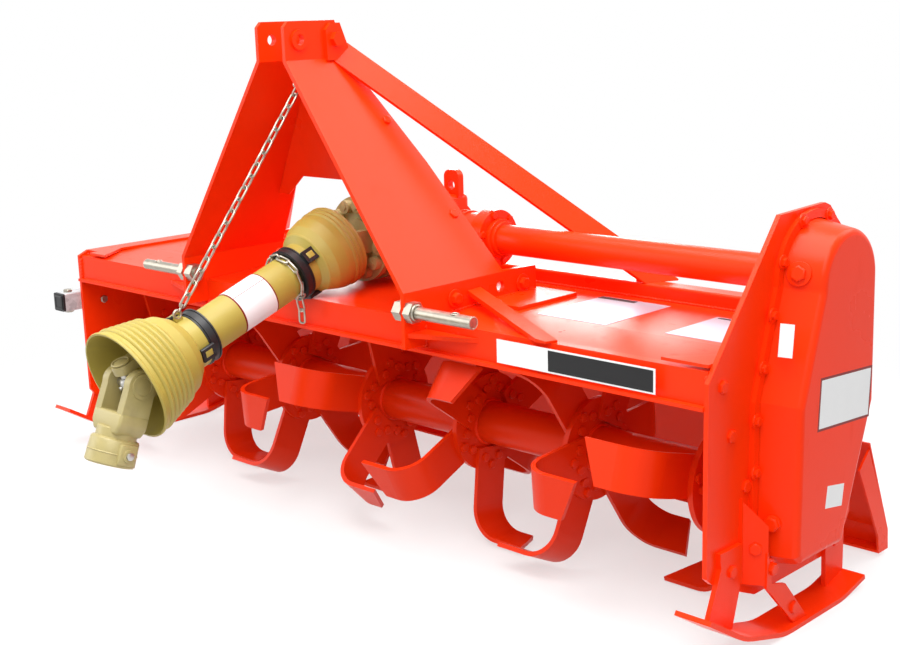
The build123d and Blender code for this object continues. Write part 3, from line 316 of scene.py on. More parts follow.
def label_finish(name, rgb):
    """Printed film, smooth, with faint dust."""
    f = Finish(name, Specular_IOR_Level=0.3)
    dust = f.noise(40.0, 5.0)
    f.feed("Base Color", f.mix(dust, shade(rgb, 0.94), shade(rgb, 1.0)))
    f.feed("Roughness", dust * 0.1 + 0.34)
    return f.material


def weld_finish(name, rgb):
    """Painted weld bead: rippled across its run."""
    f = Finish(name, Specular_IOR_Level=0.2)
    ripple = f.noise(330.0, 2.0)
    f.feed("Base Color", f.mix(ripple, shade(rgb, 0.82), shade(rgb, 1.02)))
    f.feed("Roughness", ripple * 0.1 + 0.34)
    f.bump(ripple, 0.0012, 0.7)
    return f.material


MAKERS = {
    "orange_paint": lambda name: paint_finish(name, colours().paint),
    # blades, flanges, their bolts and welds get the paint made darker, as painted shade under the hood
    "rotor_paint": lambda name: paint_finish(name, colours().rotor_paint, 0.36),
    "tan_plastic": lambda name: plastic_finish(name, colours().guard),
    "black_plastic": lambda name: plastic_finish(name, colours().black, 0.42),
    "galvanised": galvanised_finish,
    "zinc_plate": lambda name: zinc_finish(name, colours().zinc),
    "clutch_paint": lambda name: cast_finish(name, colours().clutch),
    "yoke_paint": lambda name: cast_finish(name, colours().yoke, 0.36),
    "bare_steel": steel_finish,
    "weld": lambda name: weld_finish(name, colours().paint),
    "label_white": lambda name: label_finish(name, colours().label),
    "label_black": lambda name: label_finish(name, (0.012, 0.012, 0.013)),
    "label_red": lambda name: label_finish(name, (0.22, 0.008, 0.006)),
    "label_paper": lambda name: label_finish(name, colours().paper),
}
FINISHES = {}


def finish(name):
    """The material of a slot, made the first time it's asked for."""
    if name not in FINISHES:
        FINISHES[name] = MAKERS[name](name)
    return FINISHES[name]


# ---- modelling helpers


def only(*objs):
    """Selects these objects and nothing else; the last one is active."""
    bpy.ops.object.select_all(action="DESELECT")
    for o in objs:
        o.select_set(True)
    bpy.context.view_layer.objects.active = objs[-1]


def made():
    """The object the last primitive operator added."""
    return bpy.context.active_object


def mode(name):
    """Switches to edit mode or object mode."""
    bpy.ops.object.mode_set(mode=name)


def scaled(x, y, z):
    """Scales the newest object for good."""
    made().scale = (x, y, z)
    bpy.ops.object.transform_apply(location=False, rotation=False, scale=True)
    return made()


def shape(obj, test, action):
    """Runs an edit-mode action on the faces whose centre and normal pass the test."""
    only(obj)
    mode("EDIT")
    bpy.ops.mesh.select_mode(type="FACE")
    bpy.ops.mesh.select_all(action="DESELECT")
    mode("OBJECT")
    for face in obj.data.polygons:
        face.select = test(face.center, face.normal)
    mode("EDIT")
    action()
    mode("OBJECT")
    return obj


def stood(obj, point, direction, roll=0.0):
    """Stands an object made along +Z at a point, facing a direction."""
    turn = Vector(direction).to_track_quat("Z", "Y").to_matrix().to_4x4()
    obj.matrix_world = Matrix.Translation(point) @ turn @ Matrix.Rotation(roll, 4, "Z")
    return obj


def copies(proto, places):
    """One copy of a modelled piece for each (point, direction, roll), and the model is removed."""
    out = []
    for point, direction, roll in places:
        twin = proto.copy()
        twin.data = proto.data.copy()
        bpy.context.collection.objects.link(twin)
        out.append(stood(twin, point, direction, roll))
    bpy.data.objects.remove(proto)
    return out


def settle(objs, name, material, body, slot=None, angle=35.0):
    """Joins objects into one named piece at the origin, finishes it and lets it ride on a body."""
    only(*objs)
    if len(objs) > 1:
        bpy.ops.object.join()
    piece = bpy.context.active_object
    bpy.ops.object.transform_apply(location=True, rotation=True, scale=True)
    piece.name = name
    piece.data.name = name
    piece.data.materials.clear()
    piece.data.materials.append(finish(material))
    bpy.ops.object.shade_smooth_by_angle(angle=math.radians(angle))
    bpy.ops.object.select_all(action="DESELECT")
    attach(piece, body)
    wanted = slot or material
    wanted in SLOTS
    return piece


def bevelled(obj, width, segments=2, limit=40.0):
    """Rounds an object's sharp edges."""
    only(obj)
    soft = obj.modifiers.new("edges", "BEVEL")
    soft.width = width
    soft.segments = segments
    soft.angle_limit = math.radians(limit)
    bpy.ops.object.modifier_apply(modifier=soft.name)
    return obj


def dished(obj, rim, depth):
    """Insets an object's upper face by a rim and moves it by a depth."""
    return shape(
        obj, lambda centre, normal: normal.z > 0.9, lambda: bpy.ops.mesh.inset(thickness=rim, depth=depth)
    )


def hex_head(radius, height, washer=1.45):
    """Hexagon bolt head standing on z = 0, on a washer that is wider by the factor washer."""
    thick = 0.0022
    bpy.ops.mesh.primitive_cylinder_add(
        vertices=24, radius=radius * washer, depth=thick, location=(0, 0, thick / 2)
    )
    ring = bevelled(made(), 0.0004, 1)
    bpy.ops.mesh.primitive_cylinder_add(
        vertices=6, radius=radius, depth=height, location=(0, 0, thick + height / 2)
    )
    head = made()
    dished(head, radius * 0.16, radius * 0.12)
    only(ring, head)
    bpy.ops.object.join()
    return bpy.context.active_object


def rod(start, end, radius, vertices=20):
    """A round bar between two points."""
    start, end = Vector(start), Vector(end)
    bpy.ops.mesh.primitive_cylinder_add(vertices=vertices, radius=radius, depth=(end - start).length)
    return stood(made(), (start + end) / 2, end - start)


def on_shaft(along, up=0.0, across=0.0):
    """A point by its distance in front of the rear joint, above the driveline and to its side."""
    return REAR_JOINT + SHAFT_DIR * along + SHAFT_UP * up + RIGHT * across


def outline(points):
    """Draws a closed outline: one vertex, extruded from point to point and joined up."""
    bpy.ops.mesh.primitive_plane_add(size=0.01, location=points[0])
    line = made()
    only(line)
    bpy.ops.object.transform_apply(location=True, rotation=False, scale=False)
    mode("EDIT")
    bpy.ops.mesh.select_mode(type="VERT")
    bpy.ops.mesh.select_all(action="SELECT")
    bpy.ops.mesh.merge(type="CENTER")
    for start, end in zip(points, points[1:]):
        bpy.ops.mesh.extrude_region_move(TRANSFORM_OT_translate={"value": end - start})
    bpy.ops.mesh.select_all(action="DESELECT")
    mode("OBJECT")
    for v in line.data.vertices:
        v.select = min((v.co - points[k]).length for k in (0, -1)) < 0.000005
    mode("EDIT")
    bpy.ops.mesh.edge_face_add()
    bpy.ops.mesh.select_all(action="SELECT")
    return line


def revolved(profile, steps=96, first=0.0, sweep=360.0, axle=DRIVELINE):
    """A closed (along, radius) outline spun about an axle, all the way or part of it."""
    origin, way, top = axle
    out = Matrix.Rotation(math.radians(first), 4, -way) @ top
    ring = outline([origin + way * along + out * radius for along, radius in profile])
    if sweep < 360:
        bpy.ops.mesh.edge_face_add()
    bpy.ops.mesh.spin(steps=steps, angle=math.radians(sweep), center=origin, axis=way, dupli=False)
    bpy.ops.mesh.select_all(action="SELECT")
    bpy.ops.mesh.remove_doubles(threshold=0.00002)
    bpy.ops.mesh.normals_make_consistent(inside=False)
    mode("OBJECT")
    return ring


def band(start, end, radius, thick):
    """The outline of a plain ring, for revolved; millimetres in, metres out."""
    corners = ((start, radius), (end, radius), (end, radius - thick), (start, radius - thick))
    return [(along * MM, r * MM) for along, r in corners]


def at(x, y, z):
    """A point in millimetres from the frame's middle, back from the rail's face and above ground."""
    return ORIGIN + Vector((x, y, z)) * MM


def wheel(x, y, z, radius, degrees):
    """Points at these angles round a centre, in a circle that faces right; millimetres as in at()."""
    angles = [math.radians(a) for a in degrees]
    return [at(x, y + radius * math.cos(a), z + radius * math.sin(a)) for a in angles]


def square_to(normal, up):
    """A turn whose Z is the normal and whose Y is as near up as it can be."""
    z = Vector(normal).normalized()
    x = Vector(up).cross(z).normalized()
    return Matrix((x, z.cross(x), z)).transposed().to_4x4()


def plate(centre, normal, up, width, height, thick, soft=0.0):
    """A rectangular plate lying on a surface, square to its normal."""
    bpy.ops.mesh.primitive_cube_add(size=1)
    scaled(width, height, thick)
    if soft:
        bevelled(made(), soft)
    spot = Vector(centre) + Vector(normal).normalized() * (thick / 2)
    made().matrix_world = Matrix.Translation(spot) @ square_to(normal, up)
    return made()


def boss(point, direction, radius, height, soft=0.0006, vertices=32):
    """A turned boss standing on a surface, with rounded edges."""
    bpy.ops.mesh.primitive_cylinder_add(vertices=vertices, radius=radius, depth=height)
    bevelled(made(), soft)
    way = Vector(direction).normalized()
    return stood(made(), Vector(point) + way * (height / 2), way)


def wire_ring(point, direction, radius, wire, around=32, section=10):
    """A round wire ring square to a direction."""
    bpy.ops.mesh.primitive_torus_add(
        major_radius=radius, minor_radius=wire, major_segments=around, minor_segments=section
    )
    return stood(made(), point, direction)


def walk(points, spacing):
    """Spots about equally spaced along a closed run of points."""
    loop = [Vector(p) for p in points] + [Vector(points[0])]
    lengths = [(b - a).length for a, b in zip(loop, loop[1:])]
    count = round(sum(lengths) / spacing)
    spots, k, left = [], 0, 0.0
    for n in range(count):
        goal = n * sum(lengths) / count
        while goal - left > lengths[k]:
            left += lengths[k]
            k += 1
        spots.append(loop[k].lerp(loop[k + 1], (goal - left) / lengths[k]))
    return spots


def bead(start, end, radius=None, pitch=0.0075):
    """A weld bead: overlapping drops in a row."""
    start, end = Vector(start), Vector(end)
    drop = radius or sizes().weld_radius
    bpy.ops.mesh.primitive_uv_sphere_add(segments=10, ring_count=6, radius=drop)
    scaled(1, 1, 1.7)
    row = made().modifiers.new("row", "ARRAY")
    row.use_relative_offset = False
    row.use_constant_offset = True
    row.constant_offset_displace = (0, 0, pitch)
    row.count = max(2, int((end - start).length / pitch))
    bpy.ops.object.modifier_apply(modifier=row.name)
    return stood(made(), start, end - start)


def bolts(spots, radius=None, height=0.0075, washer=1.45):
    """Hexagon heads at (point, direction) places, each turned a little differently."""
    proto = hex_head(radius or sizes().bolt_radius, height, washer)
    return copies(proto, [(p, d, 0.37 * k) for k, (p, d) in enumerate(spots)])


def cut_beyond(obj, point, way):
    """Cuts an object flat at a point and drops what lies beyond it that way."""
    only(obj)
    mode("EDIT")
    bpy.ops.mesh.select_all(action="SELECT")
    bpy.ops.mesh.bisect(plane_co=point, plane_no=way, clear_outer=True, use_fill=True)
    mode("OBJECT")
    return obj


# ---- chain case and side plates
class TILLER_OT_case(bpy.types.Operator):
    """Bolts round the chain case, its plugs, and the bolts of the plates and skids"""

    bl_idname = "tiller.case"
    bl_label = "Case and plate bolts"

    def execute(self, context):
        foot = ((372, 340), (285, 118), (268, 105), (132, 105), (106, 130), (108, 380))
        lip = [at(LIP_X, y, z) for y, z in foot] + wheel(LIP_X, CROSS_Y, CROSS_Z, 102, range(165, 0, -15))
        spots = walk(lip, 0.082)
        ears = copies(boss(at(0, 0, 0), UP, 0.0115, 0.0035), [(p, RIGHT, 0) for p in spots])
        heads = bolts([(p + RIGHT * 0.003, RIGHT) for p in spots], sizes().small_bolt, 0.006, 1.2)
        settle(ears + heads, "case_bolts", "orange_paint", "frame")
        spots = [(at(PLATE_OUT, y, z), RIGHT) for y, z in ((27, 421), (51, 340), (93, 250))]
        # case guard
        spots += [(at(887, 89, 155), (0.468, -0.883, 0))]
        spots += [(at(904, y, z), RIGHT) for y, z in ((112, 120), (175, 36))]
        # skids
        spots += [(at(873 * s, y, z), RIGHT * s) for s in (1, -1) for y, z in ((46, 128), (356, 86))]
        # left plate and the rotor's end bearing
        spots += [(at(-PLATE_OUT, y, z), LEFT) for y, z in ((54, 339), (300, 330), (60, 210), (330, 180))]
        spots += [(at(-879, ROTOR_Y + 48 * c, ROTOR_Z + 48 * s), LEFT) for c, s in DIAGONALS]
        settle(bolts(spots), "plate_bolts", "orange_paint", "frame")
        plugs = [
            boss(at(896, 184, 569), (0.17, -0.96, 0.22), 0.019, 0.006),
            boss(at(897, 122, 190), (0.17, -0.98, 0), 0.013, 0.005),
        ]
        spots = [(at(897, 178, 570.5), (0.17, -0.96, 0.22)), (at(897.5, 117, 190), (0.17, -0.98, 0))]
        plugs += bolts(spots, 0.0125, 0.010, 1.05)
        settle(plugs, "case_plugs", "orange_paint", "frame")
        return {"FINISHED"}


class TILLER_OT_side_tube(bpy.types.Operator):
    """Bolts, welds and end cap of the side tube, on the left plate"""

    bl_idname = "tiller.side_tube"
    bl_label = "Side tube"

    def execute(self, context):
        spots = [(at(-886, -25, 364), UP), (at(-886, -25, 322), DOWN), (at(-886, 120, 364), UP)]
        heads = bolts(spots, 0.011, 0.009, 1.5)
        heads += bolts([(at(-857, 50, 338), RIGHT)], 0.0095, 0.007, 1.5)
        settle(heads, "side_tube_bolt", "zinc_plate", "frame")
        beads = [bead(at(-PLATE_OUT, 2, z), at(-PLATE_OUT, 188, z)) for z in (321, 365)]
        settle(beads, "side_tube_weld", "weld", "frame", "orange_paint")
        rim = plate(at(-886, -50, 343), FRONT, UP, 0.033, 0.033, 0.0022, 0.0009)
        dished(rim, 0.004, -0.0008)
        settle([rim], "side_tube_cap", "black_plastic", "frame")
        return {"FINISHED"}


# ---- hitch
class TILLER_OT_hitch(bpy.types.Operator):
    """Bolts of the mast, its feet and the braces, and the rims of the hitch pins"""

    bl_idname = "tiller.hitch"
    bl_label = "Mast bolts"

    def execute(self, context):
        spots = [
            # square to the leaning mast plates
            (at(MAST_X + s * x, y, z), (s * 0.809, 0, 0.587))
            for s in (1, -1) for x, y, z in ((126, 110, 779), (248, 154, 609))
        ]
        settle(bolts(spots, 0.0095, 0.0065, 1.3), "mast_bolts", "orange_paint", "frame")
        spots = [(at(MAST_X + s * (FOOT + 8), y, 475), RIGHT * s) for s in (1, -1) for y in (70, 250)]
        foot = bolts(spots, 0.011, 0.008, 1.5)
        foot += bolts([(at(x, 372, 480.5), UP) for x in (-560, 460)], 0.010, 0.007, 1.4)
        settle(foot, "foot_bolts", "orange_paint", "frame")
        collar, tip = 342, 474.2  # the nut's collar and the end of each pin, from the hitch's middle
        rims = []
        for s, hole in ((1, "lynch_hole_right"), (-1, "lynch_hole_left")):
            rims += [
                # rounded rims of the nut's collar, the cross hole and the pin's end
                wire_ring(at(MAST_X + s * collar, PIN_Y, PIN_Z), RIGHT, 0.0128, 0.0022, 40),
                wire_ring(Vector(MOUNTS[hole]["pos_m"]) + UP * 0.0106, UP, 0.0066, 0.0013, 32),
                wire_ring(at(MAST_X + s * tip, PIN_Y, PIN_Z), RIGHT, 0.0098, 0.0014, 40),
            ]
        settle(rims, "hitch_pin_rims", "zinc_plate", "frame")
        return {"FINISHED"}


class TILLER_OT_welds(bpy.types.Operator):
    """Weld beads along the joins of mast, deck, rail, beam and gussets"""

    bl_idname = "tiller.welds"
    bl_label = "Welds"

    def execute(self, context):
        # the beads lie 1 mm off the plates and the deck
        deck, wall = DECK_Z + 1, PLATE_IN - 1
        runs = []
        for s in (1, -1):
            foot, side = MAST_X + s * FOOT, s * wall
            runs += [
                # start and end of each bead
                ((foot, 20, 449), (foot, 130, deck)),
                ((foot, 132, deck), (foot, 288, deck)),
                ((foot, -1, 404), (foot, -1, 446)),
                ((side, 22, 449), (side, 130, deck)),
                ((side, 132, deck), (side, 350, deck)),
                ((side, -1, 392), (side, -1, 446)),
            ]
        across = ((-855, -160, 352), (80, 855, 352), (70, 100, 236))
        runs += [((x, y, deck), (end, y, deck)) for x, end, y in across]
        beads = [bead(at(*start), at(*end)) for start, end in runs]
        spots = wheel(wall, CROSS_Y, CROSS_Z, 29.5, range(0, 361, 15))
        beads += [bead(start, end, 0.003, 0.004) for start, end in zip(spots, spots[1:])]
        settle(beads, "weld_beads", "weld", "frame", "orange_paint")
        return {"FINISHED"}


# ---- labels
class TILLER_OT_labels(bpy.types.Operator):
    """Blank labels of the rail, the deck, the case and the driveline guard"""

    bl_idname = "tiller.labels"
    bl_label = "Blank labels"

    def execute(self, context):
        rail, deck, case, tilt = -12.0, DECK_Z, LABEL_X, (0, 0.07, 1)
        fields = {
            # centre, way it faces, its up, width and height
            "paper": (
                ((487, 228, deck), UP, BACK, 0.150, 0.186),
                ((745, 222, deck), UP, BACK, 0.140, 0.150),
            ),
            "black": (
                ((666, rail - 0.5, 422), FRONT, UP, 0.206, 0.034),
                ((454, 310, deck + 0.6), UP, BACK, 0.080, 0.013),
                ((745, 289, deck + 0.6), UP, BACK, 0.124, 0.006),
            ),
            "red": (
                ((case - 0.05, 259, 366), RIGHT, tilt, 0.160, 0.084),
            ),
            "white": (
                ((612.5, rail, 422), FRONT, UP, 0.321, 0.040),
                ((913, 121, 480), (0.2, -0.965, 0.17), UP, 0.022, 0.050),
                ((case, 235, 212), RIGHT, (0, 0.17, 1), 0.052, 0.036),
                ((case + 0.05, 259, 366), RIGHT, tilt, 0.152, 0.076),
            ),
        }
        for tone, places in fields.items():
            plates = [
                plate(at(*centre), way, up, width, height, sizes().label_lift)
                for centre, way, up, width, height in places
            ]
            settle(plates, "frame_label_" + tone, "label_" + tone, "frame", "orange_paint")
        wraps = (
            # material, first and last distance along the shaft, radius, first angle and sweep
            ("label_red", 204, 284, 41.5, -34, 176),
            ("label_white", 207, 281, 41.9, -32, 172),
            ("label_red", 206, 282, 42.2, 32, 1.6),
        )
        for n, (material, start, end, radius, first, sweep) in enumerate(wraps):
            wrap = revolved(band(start, end, radius, 0.9), 40, first, sweep)
            settle([wrap], f"guard_label_{n}", material, "front_guard", "tan_plastic")
        return {"FINISHED"}


# ---- gearbox and clutch
def circle(centre, direction, radius, count, first=0.0):
    """Equally spaced points round a centre, square to a direction."""
    turn = square_to(direction, (0.3, 0.5, 0.8))
    angles = [first + math.tau * k / count for k in range(count)]
    return [
        Vector(centre) + turn @ Vector((radius * math.cos(a), radius * math.sin(a), 0)) for a in angles
    ]


def on_cross(x):
    """A point on the jackshaft's axis."""
    return at(x, CROSS_Y, CROSS_Z)


def on_drive(y):
    """A point on the input shaft's axis."""
    return at(MAST_X, y, DRIVE_Z)


class TILLER_OT_gearbox(bpy.types.Operator):
    """Covers with their bolts, ribs, plugs and turned steps of the gearbox"""

    bl_idname = "tiller.gearbox"
    bl_label = "Gearbox fittings"

    def execute(self, context):
        heads = [(p, RIGHT) for p in circle(on_cross(88), RIGHT, 0.053, 6)]
        heads += [(p, LEFT) for p in circle(on_cross(-166), RIGHT, 0.048, 6)]
        heads += [(at(x, y, 465), UP) for x in (-166, 86) for y in (222, 316)]
        heads += [(at(x, y, 624), UP) for x in (-126, -44, 34) for y in (230, 308)]
        heads += [(p, RIGHT) for p in circle(on_cross(204), RIGHT, 0.0462, 6, 0.3)]
        cap = bolts(heads, 0.0072, 0.006, 1.35)
        cap.append(plate(at(-46, 269, 618), UP, BACK, 0.184, 0.104, 0.006, 0.002))
        plugs = [boss(at(-84, 268, 624), UP, 0.017, 0.006), boss(at(-40, 334, 500), BACK, 0.015, 0.006)]
        plugs += bolts([(at(-84, 268, 630), UP), (at(-40, 340, 500), BACK)], 0.011, 0.010, 1.1)
        ribs = [plate(at(x, 204, 572), FRONT, UP, 0.007, 0.062, 0.006, 0.0015) for x in (-128, 30)]
        ribs += [plate(at(x, 334, 548), BACK, UP, 0.008, 0.110, 0.006, 0.0015) for x in (-118, -10, 40)]
        cover = boss(on_drive(334), BACK, 0.046, 0.004, 0.001, 48)
        rear = bolts([(p, BACK) for p in circle(on_drive(338), BACK, 0.036, 4)], 0.007, 0.006, 1.3)
        settle(cap + plugs + ribs + [cover] + rear, "gearbox_fittings", "orange_paint", "frame")
        steps = (
            # place along the jackshaft, radius and height of each turned step
            (108, 0.0475, 0.005), (128, 0.0475, 0.005), (203, 0.0375, 0.011), (213, 0.0330, 0.009),
        )
        rings = [boss(on_cross(x), RIGHT, radius, height, 0.0012, 48) for x, radius, height in steps]
        settle(rings, "gearbox_neck_rings", "orange_paint", "frame")
        return {"FINISHED"}


class TILLER_OT_clutch(bpy.types.Operator):
    """Springs, bolts and fins round the friction clutch"""

    bl_idname = "tiller.clutch"
    bl_label = "Clutch springs"

    def execute(self, context):
        count, first = sizes().spring_count, 0.2
        pieces, turns, coil = [], 4, 0.0032
        springs = circle(on_drive(CLUTCH_Y), FRONT, 0.0662, count, first)
        for p in springs:
            for k in range(turns):
                pieces.append(wire_ring(p + FRONT * coil * (k + 0.4), FRONT, 0.0112, 0.0020, 20, 8))
            pieces.append(boss(p + FRONT * 0.0125, FRONT, 0.0130, 0.0024))
        pieces += bolts([(p + FRONT * 0.0135, FRONT) for p in springs], 0.0066, 0.0055, 1.35)
        nuts = circle(on_drive(CLUTCH_Y + 46), BACK, 0.070, count, first)
        pieces += bolts([(p, BACK) for p in nuts], 0.0065, 0.004, 1.2)
        settle(pieces, "clutch_springs", "clutch_paint", "clutch")
        fins, middle = [], on_drive(CLUTCH_Y + 23)
        for p in circle(middle, FRONT, 0.0742, 2 * count, 0.1):
            out = p - middle
            fins.append(plate(p - out.normalized() * 0.0005, out, FRONT, 0.010, 0.021, 0.006, 0.001))
        settle(fins, "clutch_fins", "clutch_paint", "clutch")
        return {"FINISHED"}


# ---- driveline guards
def fluted(start, end, r0, r1, count, height, wall=2.0):
    """A closed outline: a cone with round folds and sharp creases; millimetres in, metres out."""
    steps = count * 8
    corners = []
    for k in range(steps + 1):
        t = k / steps
        swell = height * abs(math.sin(math.pi * count * t))
        corners.append((start + (end - start) * t, r0 + (r1 - r0) * t + swell))
    corners += [(end, r1 - wall), (start, r0 - wall)]
    return [(along * MM, r * MM) for along, r in corners]


def on_ring(along, radius, turn):
    """A point on the guard and the way out from the axis there; turn is from the top to the right."""
    out = SHAFT_UP * math.cos(math.radians(turn)) + RIGHT * math.sin(math.radians(turn))
    return REAR_JOINT + SHAFT_DIR * along * MM + out * radius * MM, out


class TILLER_OT_guards(bpy.types.Operator):
    """Folds of both bells, and the tabs with windows on the collars"""

    bl_idname = "tiller.guards"
    bl_label = "Guard folds and collar tabs"

    def execute(self, context):
        folds = [
            revolved(fluted(444, 514, 81.5, 99.2, sizes().bell_ribs, 4.2)),
            revolved(fluted(JOINT_GAP / MM + 2, JOINT_GAP / MM + 10, 101.2, 103.2, 1, 1.6)),
        ]
        settle(folds, "front_bell_folds", "tan_plastic", "front_guard", angle=60)
        # the rear bell is cut flat above the deck, and so are its folds
        relief = Vector((0, 0, DECK_TOP + 0.0125))
        folds = [
            cut_beyond(revolved(profile), relief, DOWN)
            for profile in (fluted(7, 37, 78, 78, 3, 2.4), fluted(86, 93, 64, 61, 1, 1.6))
        ]
        settle(folds, "rear_bell_folds", "tan_plastic", "rear_guard", angle=60)
        for name, middle, edges, turns in (
            # guard, middle of the tabs along the shaft, starts of the raised edges, turns of the tabs
            ("front", 386, (354, 369), (100, 220, 340)),
            ("rear", 106, (119, 134), (52, 172, 292)),
        ):
            body = name + "_guard"
            frames, windows = [], []
            for turn in turns:
                point, out = on_ring(middle, 51.5, turn)
                tab = plate(point, out, SHAFT_DIR, 0.026, 0.030, 0.0072, 0.0016)
                frames.append(dished(tab, 0.0060, -0.003))
                windows.append(plate(point, out, SHAFT_DIR, 0.0120, 0.0150, 0.0068, 0.0006))
            frames += [revolved(band(start, start + 3, 52.6, 2.6)) for start in edges]
            settle(frames, name + "_collar_tabs", "black_plastic", body)
            settle(windows, name + "_collar_windows", "tan_plastic", body)
        return {"FINISHED"}


# ---- joints and yokes
def on_yoke(along, up=0.0, across=0.0):
    """A point by its distance from the front joint towards the yoke's mouth, in millimetres."""
    return FRONT_JOINT + (YOKE_DIR * along + YOKE_UP * up + RIGHT * across) * MM


def forged_ear(side):
    """One forged ear: a round end whose arm widens into the hub, with a machined seat for the cap."""
    bpy.ops.mesh.primitive_cylinder_add(vertices=56, radius=0.0275, depth=0.0175)
    ear = stood(made(), on_yoke(0, 0, side * 33), RIGHT)
    only(ear)
    bpy.ops.object.transform_apply(location=True, rotation=True, scale=True)

    def arm():
        bpy.ops.mesh.extrude_region_move(TRANSFORM_OT_translate={"value": YOKE_DIR * 0.062})
        bpy.ops.transform.resize(value=(1.0, 1.05, 1.05), center_override=on_yoke(62, 0, side * 33))

    shape(ear, lambda centre, normal: normal.dot(YOKE_DIR) > 0.3, arm)
    cut_beyond(ear, on_yoke(60), YOKE_DIR)
    bevelled(ear, 0.0032, 3)
    seat = boss(on_yoke(0, 0, side * 41), RIGHT * side, 0.0222, 0.0040, 0.0008, 56)
    dished(seat, 0.0050, -0.0018)
    cap = boss(on_yoke(0, 0, side * 40.6), RIGHT * side, 0.0152, 0.0034, 0.0010, 48)
    clip = wire_ring(on_yoke(0, 0, side * 43.6), RIGHT, 0.0160, 0.0011, 48, 8)
    return [ear, seat, cap, clip]


def saddle():
    """The block that joins the ears to the hub, narrowing towards it."""
    bpy.ops.mesh.primitive_cube_add(size=1)
    block = scaled(0.087, 0.058, 0.022)

    def taper():
        bpy.ops.mesh.extrude_region_move(TRANSFORM_OT_translate={"value": (0, 0, 0.016)})
        bpy.ops.transform.resize(value=(0.78, 0.95, 1.0), center_override=(0, 0, 0))

    shape(block, lambda centre, normal: normal.z > 0.9, taper)
    bevelled(block, 0.0055, 4, 20)
    block.matrix_world = Matrix.Translation(on_yoke(62)) @ square_to(YOKE_DIR, YOKE_UP)
    return block


HUB_OUTLINE = (
    # distance from the joint and radius, from the neck to the mouth and back through the bore
    (78, 17.5), (78, 33.5), (80, 35.5), (95, 35.5), (97, 40.0), (100, 42.0), (119, 42.6), (120.5, 43.8),
    (122, 42.8), (139, 43.6), (142, 41.4), (142, 23.5), (139, 17.5),
)


class TILLER_OT_yokes(bpy.types.Operator):
    """The tractor yoke with its caps, splines and push pin, and the caps of the shaft yoke"""

    bl_idname = "tiller.yokes"
    bl_label = "Yokes"

    def execute(self, context):
        forging = forged_ear(1) + forged_ear(-1)
        forging.append(saddle())
        hub = [(along * MM, radius * MM) for along, radius in HUB_OUTLINE]
        forging.append(revolved(hub, 72, axle=YOKE))
        forging += [
            plate(on_yoke(119, -2, 34), RIGHT, YOKE_DIR, 0.034, 0.036, 0.0135, 0.0035),
            boss(on_yoke(119, -2, 47), RIGHT, 0.0115, 0.0030, 0.0010),
        ]
        whole = settle(forging, "yoke_forging", "yoke_paint", "yoke")
        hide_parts("tractor_yoke")
        button = [boss(on_yoke(119, -2, 49.5), RIGHT, 0.0068, 0.0055, 0.001)]
        settle(button, "yoke_push_pin", "bare_steel", "yoke")
        splines = []
        for k in range(6):
            out = Matrix.Rotation(math.tau * k / 6, 4, YOKE_DIR) @ RIGHT
            splines.append(plate(on_yoke(112) + out * 0.0156, out, YOKE_DIR, 0.0075, 0.058, 0.0022))
        settle(splines, "yoke_splines", "yoke_paint", "yoke")
        ends = []
        for s in (1, -1):
            centre = FRONT_JOINT + SHAFT_UP * s * 0.0445
            ends.append(wire_ring(centre - SHAFT_UP * s * 0.0015, SHAFT_UP, 0.0150, 0.0018, 36))
            ends.append(boss(centre - SHAFT_UP * s * 0.0045, SHAFT_UP * s, 0.0125, 0.0030, 0.0008))
        settle(ends, "shaft_yoke_caps", "yoke_paint", "front_drive")
        core = [
            boss(FRONT_JOINT + way * 0.008, way, 0.0128, 0.006, 0.001)
            for way in (SHAFT_UP, -SHAFT_UP, RIGHT, LEFT)
        ]
        core.append(boss(FRONT_JOINT + SHAFT_DIR * 0.009, SHAFT_DIR, 0.004, 0.012, 0.0008))
        settle(core, "cross_core", "bare_steel", "cross")
        return {"FINISHED"}


# ---- chains
def link(wire, length, width):
    """One oval chain link along +Z, its flat side facing +X."""
    bpy.ops.mesh.primitive_torus_add(
        major_radius=width / 2 - wire / 2, minor_radius=wire / 2, major_segments=20, minor_segments=8,
        rotation=(0, math.pi / 2, 0),
    )
    only(made())
    bpy.ops.object.transform_apply(location=False, rotation=True, scale=False)
    oval = made()
    mode("EDIT")
    bpy.ops.mesh.select_mode(type="VERT")
    bpy.ops.mesh.select_all(action="DESELECT")
    mode("OBJECT")
    for s in (1, -1):
        for v in oval.data.vertices:
            v.select = v.co.z * s > 0.00001
        mode("EDIT")
        bpy.ops.transform.translate(value=(0, 0, s * (length - width) / 2))
        bpy.ops.mesh.select_all(action="DESELECT")
        mode("OBJECT")
    return oval


def chain(points, pitch):
    """Places for links along an open run of points, each turned a quarter from the last."""
    places, gone, k = [], pitch / 2, 0
    for a, b in zip(points, points[1:]):
        run = b - a
        while gone <= run.length:
            places.append((a + run.normalized() * gone, run, math.radians(20 + 90 * (k % 2))))
            gone += pitch
            k += 1
        gone -= run.length
    return places


